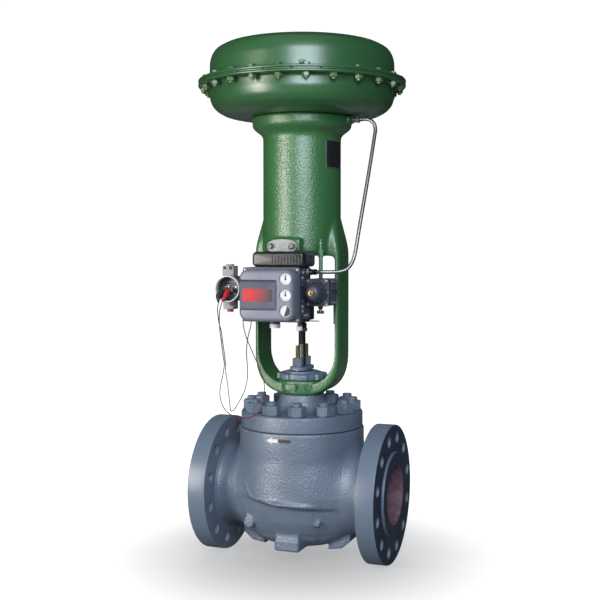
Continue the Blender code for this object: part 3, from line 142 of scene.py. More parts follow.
def make_world():
    """A dim bluish light from all round; the camera itself sees plain white."""
    world = bpy.data.worlds.new("studio")
    bpy.context.scene.world = world
    world.use_nodes = True
    nodes, links = world.node_tree.nodes, world.node_tree.links
    background = nodes["Background"]
    background.inputs["Color"].default_value = (0.80, 0.86, 1.0, 1.0)
    background.inputs["Strength"].default_value = 0.03
    seen = nodes.new("ShaderNodeBackground")
    seen.inputs["Color"].default_value = (1.0, 1.0, 1.0, 1.0)
    seen.inputs["Strength"].default_value = 1.02
    path = nodes.new("ShaderNodeLightPath")
    mix = nodes.new("ShaderNodeMixShader")
    links.new(path.outputs["Is Camera Ray"], mix.inputs[0])
    links.new(background.outputs[0], mix.inputs[1])
    links.new(seen.outputs[0], mix.inputs[2])
    links.new(mix.outputs[0], nodes["World Output"].inputs["Surface"])


# Surfaces
def strips(rows, columns, wrap=True):
    """Quads between neighbouring rows of a grid; wrap joins the last column to the first."""
    row = np.arange(rows - 1)[:, None] * columns
    here = np.arange(columns if wrap else columns - 1)[None, :]
    there = (here + 1) % columns
    quads = np.stack([row + here, row + there, row + columns + there, row + columns + here], -1)
    return quads.reshape(-1, 4)


def moved(points, matrix):
    """The points carried by a 4 by 4 matrix."""
    m = np.array(matrix, float)
    return points @ m[:3, :3].T + m[:3, 3]


def sheet_of(points, matrix=None, wrap=True):
    """A shell from a grid of points: its flat list and its quads."""
    flat = points.reshape(-1, 3)
    if matrix is not None:
        flat = moved(flat, matrix)
    return flat, strips(points.shape[0], points.shape[1], wrap)


def softened(profile, radius, steps=4):
    """The closed profile with each corner off the axis turned into a short quadratic arc."""
    profile = np.array(profile, float)
    before, after = np.roll(profile, 1, 0), np.roll(profile, -1, 0)
    t = np.linspace(0.0, 1.0, steps + 1)[:, None]
    result = []
    for a, p, b in zip(before, profile, after):
        reach = min(radius, 0.42 * np.linalg.norm(a - p), 0.42 * np.linalg.norm(b - p))
        if p[0] < 1e-9 or reach < 1e-6:
            result.append(p[None, :])
            continue
        start = p + (a - p) / np.linalg.norm(a - p) * reach
        end = p + (b - p) / np.linalg.norm(b - p) * reach
        result.append((1 - t) ** 2 * start + 2 * t * (1 - t) * p + t**2 * end)
    return np.concatenate(result)


def turned(profile, segments=144, soft=0.001, matrix=None):
    """Surface of revolution: (r cos a, r sin a, z) for a profile of (r, z) and angle a."""
    outline = softened(profile, soft) if soft else np.array(profile, float)
    if outline[0, 0] > 0 or outline[-1, 0] > 0:
        outline = np.vstack([outline, outline[:1]])
    angle = np.linspace(0.0, 2 * PI, segments, endpoint=False)[None, :]
    r, z = outline[:, 0][:, None], outline[:, 1][:, None]
    points = np.stack([r * np.cos(angle), r * np.sin(angle), z + 0 * angle], -1)
    return sheet_of(points, matrix)


def lofted(rings, matrix=None):
    """Skin through rings of equally many points, closed by a point at each end."""
    rings = np.array(rings, float)
    first = np.repeat(rings[:1].mean(1, keepdims=True), rings.shape[1], 1)
    last = np.repeat(rings[-1:].mean(1, keepdims=True), rings.shape[1], 1)
    return sheet_of(np.concatenate([first, rings, last]), matrix)


def rounded_rect(half_x, half_y, corner, points=48):
    """Points round a rectangle: four quarter circles of the corner's radius."""
    quarter = points // 4
    side = np.array([(1, 1), (-1, 1), (-1, -1), (1, -1)], float)
    turn = (np.arange(4)[:, None] + np.linspace(0.0, 1.0, quarter)[None, :]) * PI / 2
    x = side[:, 0][:, None] * (half_x - corner) + corner * np.cos(turn)
    y = side[:, 1][:, None] * (half_y - corner) + corner * np.sin(turn)
    return np.stack([x, y], -1).reshape(-1, 2)


def slab(half_x, half_y, corner, low, high, edge, matrix=None, points=48):
    """A rounded rectangle from low to high, whose edges are quarter circles."""
    turn = np.linspace(0.0, PI / 2, 5)
    levels = [(low + edge * (1 - math.cos(t)), edge * (1 - math.sin(t))) for t in turn]
    levels += [(high - edge * (1 - math.cos(t)), edge * (1 - math.sin(t))) for t in turn[::-1]]
    rings = []
    for z, inset in levels:
        flat = rounded_rect(half_x - inset, half_y - inset, max(corner - inset, 2e-4), points)
        rings.append(np.column_stack([flat, np.full(len(flat), z)]))
    return lofted(rings, matrix)


def hexagon(angle, across):
    """Radius of a hexagon at an angle: half its width over the cosine from the nearest flat."""
    return across / 2 / np.cos((angle + PI / 6) % (PI / 3) - PI / 6)


def hex_nut(across, low, high, matrix=None, hole=0.0, columns=72, ends=(True, True)):
    """A nut: the lesser of the hexagon's radius and a 28 degree cone at each chamfered end."""
    angle = np.linspace(0.0, 2 * PI, columns, endpoint=False)[None, :]
    reach, face, slope = 0.08 * across, 0.475 * across, 1.9
    z = np.concatenate([low + np.linspace(0, reach, 6), high - np.linspace(reach, 0, 6)])
    z = z[:, None]
    cone = np.full_like(z, across)
    if ends[0]:
        cone = np.minimum(cone, face + (z - low) * slope)
    if ends[1]:
        cone = np.minimum(cone, face + (high - z) * slope)
    r = np.minimum(hexagon(angle, across), cone)
    side = np.stack([r * np.cos(angle), r * np.sin(angle), z + 0 * r], -1)
    inner = np.stack([hole * np.cos(angle), hole * np.sin(angle), 0 * angle], -1)
    first, last = inner + [0, 0, low], inner + [0, 0, high]
    rows = [first, side, last] if hole == 0.0 else [first, side, last, first]
    return sheet_of(np.concatenate(rows), matrix)


def threaded(radius, low, high, pitch, matrix=None, depth=None, columns=24):
    """A screw thread: radius less a triangle wave of height and angle, tapered at the top."""
    depth = 0.6 * pitch if depth is None else depth
    rows = max(int((high - low) / pitch * 6), 8)
    angle = np.linspace(0.0, 2 * PI, columns, endpoint=False)[None, :]
    z = np.linspace(low, high, rows)[:, None]
    wave = np.abs(((z / pitch - angle / (2 * PI)) % 1.0) * 2 - 1)
    r = radius - depth * wave
    r = np.minimum(r, radius - depth + np.clip(high - z, 0, None))
    return lofted(np.stack([r * np.cos(angle), r * np.sin(angle), z + 0 * r], -1), matrix)


def smooth_route(route, samples):
    """Evenly spaced points of a Catmull-Rom curve through the route's points."""
    p = np.array(route, float)
    p = np.vstack([2 * p[0] - p[1], p, 2 * p[-1] - p[-2]])
    t = (np.arange(40) / 40)[None, :, None]
    a, b, c, d = (p[k:len(p) - 3 + k][:, None, :] for k in range(4))
    curve = 0.5 * (2 * b + (c - a) * t + (2 * a - 5 * b + 4 * c - d) * t**2
                   + (3 * b - a - 3 * c + d) * t**3)
    curve = np.vstack([curve.reshape(-1, 3), p[-2]])
    along = np.concatenate([[0.0], np.cumsum(np.linalg.norm(np.diff(curve, axis=0), axis=1))])
    wanted = np.linspace(0.0, along[-1], samples)
    return np.stack([np.interp(wanted, along, curve[:, k]) for k in range(3)], -1)


def swept(path, radius, columns=20):
    """A tube: circles of the given radii across the path, each frame carried from the last."""
    path = np.array(path, float)
    radii = np.broadcast_to(np.asarray(radius, float), len(path))
    ahead = np.gradient(path, axis=0)
    ahead /= np.linalg.norm(ahead, axis=1)[:, None]
    side = np.cross(ahead[0], (0.31, 0.22, 0.93))
    angle = np.linspace(0.0, 2 * PI, columns, endpoint=False)[:, None]
    rings = []
    for point, forward, r in zip(path, ahead, radii):
        side = side - forward * (side @ forward)
        side /= np.linalg.norm(side)
        up = np.cross(forward, side)
        rings.append(point + r * (np.cos(angle) * side + np.sin(angle) * up))
    return lofted(rings)


def along_y(y=0.0, x=0.0, z=0.0):
    """The frame in which local X, Y, Z run along world X, world Z and world -Y."""
    return Matrix.Translation((x, y, z)) @ Matrix.Rotation(PI / 2, 4, "X")


def along_x(x=0.0, y=0.0, z=0.0):
    """The frame in which local X, Y, Z run along world -Z, world Y and world X."""
    return Matrix.Translation((x, y, z)) @ Matrix.Rotation(PI / 2, 4, "Y")


def at(x=0.0, y=0.0, z=0.0, turn=0.0):
    """The frame at a place, turned about Z."""
    return Matrix.Translation((x, y, z)) @ Matrix.Rotation(turn, 4, "Z")


def spots(count, radius, start):
    """The angle, x and y of each of the evenly spaced places on a circle."""
    angle = start + 2 * PI * np.arange(count) / count
    return zip(angle, radius * np.cos(angle), radius * np.sin(angle))


# Pieces
def shell_mesh(name, shells):
    """One mesh from (points, quads) or (points, quads, material number) shells."""
    mesh = bpy.data.meshes.new(name)
    counts = np.cumsum([0] + [len(shell[0]) for shell in shells[:-1]])
    points = np.concatenate([shell[0] for shell in shells])
    quads = np.concatenate([shell[1] + start for shell, start in zip(shells, counts)])
    mesh.vertices.add(len(points))
    mesh.vertices.foreach_set("co", points.astype(np.float32).ravel())
    mesh.loops.add(quads.size)
    mesh.loops.foreach_set("vertex_index", quads.astype(np.int32).ravel())
    mesh.polygons.add(len(quads))
    mesh.polygons.foreach_set("loop_start", np.arange(len(quads), dtype=np.int32) * 4)
    number = [np.full(len(s[1]), s[2] if len(s) > 2 else 0, np.int32) for s in shells]
    mesh.polygons.foreach_set("material_index", np.concatenate(number))
    mesh.update(calc_edges=True)
    bm = bmesh.new()
    bm.from_mesh(mesh)
    bmesh.ops.remove_doubles(bm, verts=bm.verts, dist=2e-6)
    bmesh.ops.recalc_face_normals(bm, faces=bm.faces)
    bm.to_mesh(mesh)
    bm.free()
    return mesh


def show(name, mesh, materials, body="valve", stands_for=(), sharp=34):
    """Put a finished mesh into the scene, riding on its CAD body."""
    obj = bpy.data.objects.new(name, mesh)
    bpy.context.scene.collection.objects.link(obj)
    for material in materials:
        mesh.materials.append(material)
    mesh.shade_smooth()
    mesh.set_sharp_from_angle(angle=math.radians(sharp))
    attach(obj, body)
    if stands_for:
        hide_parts(*stands_for)
    return obj


def piece(name, shells, materials, body="valve", stands_for=(), sharp=34):
    """Build one mesh from shells and show it."""
    materials = materials if isinstance(materials, (list, tuple)) else [materials]
    return show(name, shell_mesh(name, shells), materials, body, stands_for, sharp)


def baked(obj):
    """The object's mesh with its modifiers applied; the object itself is removed."""
    graph = bpy.context.evaluated_depsgraph_get()
    mesh = bpy.data.meshes.new_from_object(obj.evaluated_get(graph))
    bpy.data.objects.remove(obj)
    return mesh


def carved(mesh, added, cutters):
    """Exact booleans: the added shells are welded onto the mesh, then the cutters are taken away."""
    base = bpy.data.objects.new("carved_base", mesh)
    bpy.context.scene.collection.objects.link(base)
    tools = []
    steps = [(shells, "UNION") for shells in added] + [(shells, "DIFFERENCE") for shells in cutters]
    for shells, operation in steps:
        tool = bpy.data.objects.new("carving_tool", shell_mesh("carving_tool", shells))
        bpy.context.scene.collection.objects.link(tool)
        tool.hide_render = True
        tools.append(tool)
        step = base.modifiers.new("step", "BOOLEAN")
        step.operation, step.solver, step.object = operation, "EXACT", tool
    result = baked(base)
    for tool in tools:
        bpy.data.objects.remove(tool)
    return result


def as_cast(mesh, voxel, passes):
    """Rounds every edge as sand casting does: an even remesh, then smoothing passes."""
    obj = bpy.data.objects.new("casting", mesh)
    bpy.context.scene.collection.objects.link(obj)
    remesh = obj.modifiers.new("even", "REMESH")
    remesh.mode, remesh.voxel_size = "VOXEL", voxel
    smooth = obj.modifiers.new("soft", "SMOOTH")
    smooth.factor, smooth.iterations = 0.5, passes
    return baked(obj)


# Finishes
def shader_group(name, inputs, outputs):
    """A new node group with its sockets; returns its tree and its input and output nodes."""
    tree = bpy.data.node_groups.new(name, "ShaderNodeTree")
    for socket, kind, value in inputs:
        made = tree.interface.new_socket(socket, in_out="INPUT", socket_type=kind)
        if value is not None:
            made.default_value = value
    for socket, kind in outputs:
        tree.interface.new_socket(socket, in_out="OUTPUT", socket_type=kind)
    return tree, tree.nodes.new("NodeGroupInput"), tree.nodes.new("NodeGroupOutput")


def add_noise(tree, vector, scale, detail, roughness=0.5):
    """The value of a noise over the vector; the scale is a number or a socket."""
    noise = tree.nodes.new("ShaderNodeTexNoise")
    noise.inputs["Detail"].default_value = detail
    noise.inputs["Roughness"].default_value = roughness
    tree.links.new(vector, noise.inputs["Vector"])
    if isinstance(scale, (int, float)):
        noise.inputs["Scale"].default_value = scale
    else:
        tree.links.new(scale, noise.inputs["Scale"])
    return noise.outputs["Fac"]


def add_math(tree, operation, first, second):
    """The operation's result on two values, each a number or a socket."""
    node = tree.nodes.new("ShaderNodeMath")
    node.operation = operation
    for socket, value in zip(node.inputs, (first, second)):
        if isinstance(value, (int, float)):
            socket.default_value = value
        else:
            tree.links.new(value, socket)
    return node.outputs[0]


def add_range(tree, value, low, high, to_low=0.0, to_high=1.0, kind="LINEAR"):
    """The value carried from one range to another; each end is a number or a socket."""
    node = tree.nodes.new("ShaderNodeMapRange")
    node.interpolation_type = kind
    tree.links.new(value, node.inputs["Value"])
    for socket, number in (("From Min", low), ("From Max", high), ("To Min", to_low), ("To Max", to_high)):
        if isinstance(number, (int, float)):
            node.inputs[socket].default_value = number
        else:
            tree.links.new(number, node.inputs[socket])
    return node.outputs["Result"]


def add_mix(tree, share, first, second):
    """Two colours mixed by a share, each a number, a colour or a socket."""
    node = tree.nodes.new("ShaderNodeMix")
    node.data_type = "RGBA"
    for socket, value in ((node.inputs[0], share), (node.inputs[6], first), (node.inputs[7], second)):
        if isinstance(value, tuple):
            socket.default_value = (*value, 1.0) if len(value) == 3 else value
        elif isinstance(value, (int, float)):
            socket.default_value = value
        else:
            tree.links.new(value, socket)
    return node.outputs[2]


def make_tone_group():
    """Colour and roughness that drift in patches, and a ragged worn colour on the edges."""
    tree, given, out = shader_group(
        "tone",
        [("Vector", "NodeSocketVector", None), ("Colour", "NodeSocketColor", (0.5, 0.5, 0.5, 1)),
         ("Other Colour", "NodeSocketColor", (0.4, 0.4, 0.4, 1)), ("Patch Scale", "NodeSocketFloat", 12.0),
         ("Worn Colour", "NodeSocketColor", (0.5, 0.5, 0.5, 1)), ("Wear", "NodeSocketFloat", 0.3),
         ("Smooth", "NodeSocketFloat", 0.3), ("Dull", "NodeSocketFloat", 0.5)],
        [("Colour", "NodeSocketColor"), ("Roughness", "NodeSocketFloat")],
    )
    v = given.outputs
    patches = add_noise(tree, v["Vector"], v["Patch Scale"], 5.0, 0.6)
    patch = add_range(tree, patches, 0.35, 0.65)
    fine = add_noise(tree, v["Vector"], 420.0, 2.0)
    colour = add_mix(tree, patch, v["Colour"], v["Other Colour"])
    geometry = tree.nodes.new("ShaderNodeNewGeometry")
    edge = add_range(tree, geometry.outputs["Pointiness"], 0.53, 0.62)
    ragged = add_range(tree, add_noise(tree, v["Vector"], 160.0, 4.0, 0.7), 0.45, 0.62)
    wear = add_math(tree, "MULTIPLY", add_math(tree, "MULTIPLY", edge, ragged), v["Wear"])
    tree.links.new(add_mix(tree, wear, colour, v["Worn Colour"]), out.inputs["Colour"])
    mixed = add_math(tree, "ADD", add_math(tree, "MULTIPLY", patch, 0.6),
                     add_math(tree, "MULTIPLY", fine, 0.4))
    tree.links.new(add_range(tree, mixed, 0.0, 1.0, v["Smooth"], v["Dull"]), out.inputs["Roughness"])
    return tree


def make_relief_group():
    """Normals of a surface with a fine and a coarse roughness, heights in millimetres."""
    tree, given, out = shader_group(
        "relief",
        [("Vector", "NodeSocketVector", None), ("Fine Scale", "NodeSocketFloat", 300.0),
         ("Fine Height", "NodeSocketFloat", 0.1), ("Coarse Scale", "NodeSocketFloat", 60.0),
         ("Coarse Height", "NodeSocketFloat", 0.2)],
        [("Normal", "NodeSocketVector")],
    )
    v = given.outputs
    fine = add_noise(tree, v["Vector"], v["Fine Scale"], 3.0, 0.55)
    coarse = add_noise(tree, v["Vector"], v["Coarse Scale"], 3.0, 0.5)
    height = add_math(tree, "ADD", add_math(tree, "MULTIPLY", fine, v["Fine Height"]),
                      add_math(tree, "MULTIPLY", coarse, v["Coarse Height"]))
    bump = tree.nodes.new("ShaderNodeBump")
    bump.inputs["Strength"].default_value = 1.0
    bump.inputs["Distance"].default_value = 0.001
    tree.links.new(height, bump.inputs["Height"])
    tree.links.new(bump.outputs["Normal"], out.inputs["Normal"])
    return tree


TONE = make_tone_group()
RELIEF = make_relief_group()
MAT = {}


def finish(name, colour, other=None, smooth=0.3, dull=0.45, metallic=0.0, coat=0.0, patch=12.0, gloss=0.5,
           worn=None, wear=0.0, fine=(320.0, 0.1), coarse=(60.0, 0.2)):
    """Put a material from the tone and relief groups into MAT.

    Fine and coarse are each a scale and a height in millimetres.
    """
    material = bpy.data.materials.new(name)
    material.use_nodes = True
    tree = material.node_tree
    shader = tree.nodes["Principled BSDF"]
    shader.inputs["Metallic"].default_value = metallic
    shader.inputs["Coat Weight"].default_value = coat
    shader.inputs["Coat Roughness"].default_value = 0.12
    shader.inputs["Specular IOR Level"].default_value = gloss
    place = tree.nodes.new("ShaderNodeTexCoord").outputs["Object"]
    tone = tree.nodes.new("ShaderNodeGroup")
    tone.node_tree = TONE
    other = tuple(c * 0.82 for c in colour) if other is None else other
    worn = tuple(min(c * 1.8 + 0.05, 1.0) for c in colour) if worn is None else worn
    for socket, value in (("Colour", (*colour, 1)), ("Other Colour", (*other, 1)), ("Patch Scale", patch),
                          ("Worn Colour", (*worn, 1)), ("Wear", wear), ("Smooth", smooth), ("Dull", dull)):
        tone.inputs[socket].default_value = value
    relief = tree.nodes.new("ShaderNodeGroup")
    relief.node_tree = RELIEF
    for socket, value in (("Fine Scale", fine[0]), ("Fine Height", fine[1]),
                          ("Coarse Scale", coarse[0]), ("Coarse Height", coarse[1])):
        relief.inputs[socket].default_value = value
    tree.links.new(place, tone.inputs["Vector"])
    tree.links.new(place, relief.inputs["Vector"])
    tree.links.new(tone.outputs["Colour"], shader.inputs["Base Color"])
    tree.links.new(tone.outputs["Roughness"], shader.inputs["Roughness"])
    tree.links.new(relief.outputs["Normal"], shader.inputs["Normal"])
    MAT[name] = material


def recolour(material, mask, colour):
    """Paint over the material's tone where the mask is 1."""
    tree = material.node_tree
    shader = tree.nodes["Principled BSDF"]
    under = shader.inputs["Base Color"].links[0].from_socket
    tree.links.new(add_mix(tree, mask, under, colour), shader.inputs["Base Color"])


def axis_of(material, axis):
    """One of the material's Object coordinates."""
    tree = material.node_tree
    place = tree.nodes.new("ShaderNodeTexCoord").outputs["Object"]
    apart = tree.nodes.new("ShaderNodeSeparateXYZ")
    tree.links.new(place, apart.inputs[0])
    return apart.outputs[axis]


GREEN = (0.040, 0.150, 0.046)
BLUE_GREY = (0.130, 0.172, 0.226)
SLATE = (0.060, 0.066, 0.090)

finish("green_cast", GREEN, (0.034, 0.130, 0.040), 0.29, 0.40, patch=9.0, gloss=1.0,
       worn=(0.10, 0.26, 0.09), wear=0.25, fine=(420.0, 0.14), coarse=(205.0, 1.05))
finish("green_sheet", (0.030, 0.112, 0.036), (0.027, 0.102, 0.033), 0.28, 0.36, patch=6.0, gloss=1.0,
       worn=(0.10, 0.26, 0.09), wear=0.2, fine=(380.0, 0.06), coarse=(110.0, 0.16))
# The yoke's green lightened as a painted highlight for the riser and the upper fitting's boss; its light
# edges are wear.
finish("green_fitting_painted_highlight", (0.075, 0.230, 0.095), (0.060, 0.190, 0.075), 0.25, 0.4, patch=60.0, gloss=0.8,
       worn=(0.30, 0.50, 0.28), wear=0.6, fine=(420.0, 0.05), coarse=(150.0, 0.1))
finish("green_nut", (0.050, 0.140, 0.045), (0.090, 0.160, 0.060), 0.26, 0.45, patch=120.0, gloss=0.8,
       worn=(0.36, 0.42, 0.24), wear=0.7, fine=(600.0, 0.06), coarse=(180.0, 0.08))
finish("blue_cast", BLUE_GREY, (0.112, 0.147, 0.194), 0.31, 0.46, patch=14.0, gloss=0.9,
       worn=(0.30, 0.36, 0.44), wear=0.55, fine=(380.0, 0.18), coarse=(185.0, 1.45))
finish("blue_machined", BLUE_GREY, (0.118, 0.155, 0.203), 0.30, 0.42, patch=10.0, worn=(0.30, 0.36, 0.42),
       wear=0.4, gloss=0.6, fine=(500.0, 0.03), coarse=(90.0, 0.08))
finish("blue_nut", (0.138, 0.180, 0.232), (0.112, 0.147, 0.194), 0.26, 0.40, patch=60.0, gloss=0.7,
       worn=(0.33, 0.40, 0.47), wear=0.7, fine=(420.0, 0.06), coarse=(140.0, 0.14))
finish("bore_primer", (0.205, 0.105, 0.138), (0.115, 0.060, 0.080), 0.6, 0.85, patch=60.0,
       fine=(400.0, 0.25), coarse=(80.0, 0.5))
finish("hole_grey", (0.25, 0.26, 0.31), (0.17, 0.18, 0.22), 0.35, 0.55, patch=60.0, fine=(420.0, 0.1),
       coarse=(120.0, 0.16))
finish("hub_silver", (0.30, 0.30, 0.30), (0.22, 0.22, 0.22), 0.34, 0.5, patch=60.0, worn=(0.6, 0.6, 0.6),
       wear=0.4, fine=(520.0, 0.08), coarse=(120.0, 0.1))
finish("steel", (0.60, 0.59, 0.56), (0.50, 0.49, 0.47), 0.18, 0.34, 1.0, patch=40.0, fine=(500.0, 0.02),
       coarse=(120.0, 0.03))
finish("tube", (0.33, 0.32, 0.30), (0.26, 0.25, 0.235), 0.34, 0.46, 1.0, patch=30.0, fine=(700.0, 0.008),
       coarse=(60.0, 0.01))
finish("stem", (0.13, 0.12, 0.11), (0.08, 0.075, 0.07), 0.30, 0.45, 0.9, patch=50.0, fine=(900.0, 0.01),
       coarse=(60.0, 0.02))
finish("dark_steel", (0.075, 0.075, 0.078), (0.05, 0.05, 0.052), 0.30, 0.5, 0.9, patch=50.0,
       worn=(0.3, 0.3, 0.3), wear=0.5, fine=(500.0, 0.06), coarse=(120.0, 0.08))
finish("black_iron", (0.012, 0.012, 0.014), (0.020, 0.020, 0.022), 0.32, 0.55, patch=50.0,
       worn=(0.10, 0.10, 0.11), wear=0.6, fine=(420.0, 0.12), coarse=(120.0, 0.2))
finish("brass", (0.72, 0.50, 0.18), (0.55, 0.36, 0.12), 0.2, 0.4, 1.0, patch=60.0, fine=(600.0, 0.03),
       coarse=(150.0, 0.04))
finish("gold_stud", (0.40, 0.33, 0.16), (0.26, 0.21, 0.10), 0.28, 0.5, 0.9, patch=120.0,
       fine=(600.0, 0.04), coarse=(150.0, 0.06))
finish("graphite", (0.03, 0.03, 0.03), None, 0.5, 0.8, patch=60.0, fine=(500.0, 0.1), coarse=(120.0, 0.2))
finish("rubber", (0.015, 0.015, 0.015), (0.025, 0.025, 0.025), 0.55, 0.8, patch=40.0, fine=(800.0, 0.08),
       coarse=(120.0, 0.1))
finish("cover", (0.172, 0.182, 0.228), (0.160, 0.170, 0.214), 0.34, 0.46, patch=16.0,
       worn=(0.4, 0.42, 0.45), wear=0.2, fine=(900.0, 0.05), coarse=(140.0, 0.05))
finish("slate", SLATE, (0.050, 0.055, 0.075), 0.34, 0.52, patch=30.0, coat=0.1, worn=(0.16, 0.17, 0.20),
       wear=0.5, fine=(520.0, 0.12), coarse=(150.0, 0.2))
finish("black_plastic", (0.010, 0.010, 0.013), (0.015, 0.016, 0.020), 0.28, 0.40, patch=40.0, gloss=0.6,
       worn=(0.07, 0.07, 0.075), wear=0.5, fine=(620.0, 0.02), coarse=(140.0, 0.04))
finish("silver_plate", (0.30, 0.31, 0.30), (0.26, 0.27, 0.265), 0.34, 0.50, 0.2, patch=40.0,
       worn=(0.6, 0.6, 0.6), wear=0.4, fine=(520.0, 0.06), coarse=(120.0, 0.1))
finish("zinc", (0.50, 0.50, 0.49), (0.36, 0.36, 0.36), 0.24, 0.44, 0.85, patch=90.0, fine=(700.0, 0.05),
       coarse=(160.0, 0.08))
finish("white_cap", (0.78, 0.78, 0.76), (0.70, 0.70, 0.68), 0.35, 0.5, patch=40.0, fine=(500.0, 0.04),
       coarse=(120.0, 0.05))
finish("ring_white", (0.55, 0.54, 0.47), (0.44, 0.43, 0.38), 0.35, 0.5, patch=60.0, fine=(500.0, 0.04),
       coarse=(120.0, 0.05))
finish("cover_band", (0.080, 0.085, 0.114), (0.072, 0.077, 0.104), 0.40, 0.52, patch=16.0, gloss=0.35,
       fine=(900.0, 0.05), coarse=(140.0, 0.05))
finish("dial", (0.66, 0.66, 0.66), (0.60, 0.60, 0.60), 0.25, 0.38, coat=0.3, patch=30.0,
       fine=(500.0, 0.01), coarse=(120.0, 0.01))
finish("ink_and_painted_shadow", (0.012, 0.012, 0.014), None, 0.35, 0.5, patch=30.0, fine=(500.0, 0.01),
       coarse=(120.0, 0.01))
finish("red_rubber", (0.52, 0.018, 0.022), (0.42, 0.015, 0.018), 0.30, 0.5, patch=60.0,
       fine=(700.0, 0.04), coarse=(160.0, 0.08))
finish("red_wire", (0.15, 0.008, 0.012), (0.10, 0.006, 0.010), 0.35, 0.55, patch=60.0, fine=(900.0, 0.03),
       coarse=(160.0, 0.04))
finish("black_rubber", (0.030, 0.032, 0.036), (0.022, 0.023, 0.026), 0.28, 0.45, patch=60.0, gloss=0.7,
       fine=(700.0, 0.04), coarse=(160.0, 0.08))
finish("black_wire", (0.018, 0.018, 0.020), None, 0.35, 0.55, patch=60.0, fine=(900.0, 0.03),
       coarse=(160.0, 0.04))
finish("plate_black", (0.016, 0.016, 0.018), (0.028, 0.028, 0.030), 0.25, 0.42, 0.2, patch=80.0,
       fine=(700.0, 0.03), coarse=(160.0, 0.03))
finish("arrow_white", (0.78, 0.76, 0.72), (0.60, 0.58, 0.54), 0.4, 0.6, patch=160.0, fine=(600.0, 0.08),
       coarse=(160.0, 0.1))
finish("arrow_brown", (0.10, 0.045, 0.03), (0.05, 0.03, 0.025), 0.45, 0.7, patch=200.0, fine=(600.0, 0.1),
       coarse=(160.0, 0.15))
# The flange faces are the body's blue darkened: painted shade where they turn away from the light.
finish("flange_face_painted_shade", (0.020, 0.036, 0.064), (0.016, 0.029, 0.052), 0.42, 0.60, gloss=0.4, patch=10.0,
       worn=(0.15, 0.18, 0.22), wear=0.3, fine=(500.0, 0.05), coarse=(90.0, 0.1))
finish("label_red", (0.60, 0.030, 0.036), (0.52, 0.025, 0.030), 0.45, 0.55, gloss=0.3, patch=40.0,
       fine=(600.0, 0.01), coarse=(120.0, 0.01))


def fade_label():
    """The label's plain red fades to the cover's grey along X."""
    material = MAT["label_red"]
    fade_start, fade_end, grey = -0.046, 0.004, (0.075, 0.060, 0.072)
    fade = add_range(material.node_tree, axis_of(material, "X"), fade_start, fade_end)
    recolour(material, fade, grey)


fade_label()


# Leads
def lead_routes():
    """Each lead leaves its clip, hangs beside the other, and turns up to the housing."""
    front = -0.2038
    behind = -0.1996
    red = [
        (-0.1344, -0.2063, 0.4959), (-0.1348, -0.2102, 0.4925), (-0.1372, -0.2110, 0.4850),
        (-0.1420, -0.2070, 0.4600), (-0.1425, front, 0.4260), (-0.1390, front, 0.4020),
        (-0.1365, front, 0.3800), (-0.1330, front, 0.3580), (-0.1305, front, 0.3360),
        (-0.1340, front, 0.3160), (-0.1400, front, 0.2900), (-0.1430, front, 0.2680),
        (-0.1390, front, 0.2460), (-0.1280, front, 0.2260), (-0.1140, front, 0.2160),
        (-0.0950, front, 0.2105), (-0.0770, -0.2030, 0.2085), (-0.0590, -0.2010, 0.2130),
        (-0.0420, -0.1985, 0.2240), (-0.0310, -0.1955, 0.2420), (-0.0270, -0.1925, 0.2650),
        (-0.0290, -0.1895, 0.2910), (-0.0350, -0.1870, 0.3130), (-0.0460, -0.1850, 0.3370),
        (-0.0590, -0.1830, 0.3620), (-0.0720, -0.1815, 0.3880), (-0.0830, -0.1800, 0.4130),
        (-0.0900, -0.1780, 0.4400), (-0.0900, -0.1770, 0.4620), (-0.0820, -0.1765, 0.4760),
        (-0.0685, -0.1760, 0.4790),
    ]
    black = [
        (-0.1455, -0.2043, 0.4939), (-0.1455, -0.2082, 0.4903), (-0.1464, -0.2085, 0.4820),
        (-0.1475, -0.2040, 0.4660), (-0.1462, -0.2005, 0.4430), (-0.1405, behind, 0.4230),
        (-0.1375, behind, 0.4020), (-0.1345, behind, 0.3810), (-0.1310, behind, 0.3580),
        (-0.1290, behind, 0.3380), (-0.1275, behind, 0.3120), (-0.1240, behind, 0.2950),
        (-0.1205, behind, 0.2650), (-0.1165, behind, 0.2340), (-0.1135, behind, 0.2185),
        (-0.1060, -0.1990, 0.2280), (-0.0900, -0.1980, 0.2530), (-0.0790, -0.1970, 0.2760),
        (-0.0715, -0.1960, 0.3070), (-0.0715, -0.1950, 0.3330), (-0.0745, -0.1940, 0.3640),
        (-0.0735, -0.1925, 0.3950), (-0.0680, -0.1910, 0.4250), (-0.0640, -0.1900, 0.4400),
        (-0.0630, -0.1900, 0.4547),
    ]
    return red, black


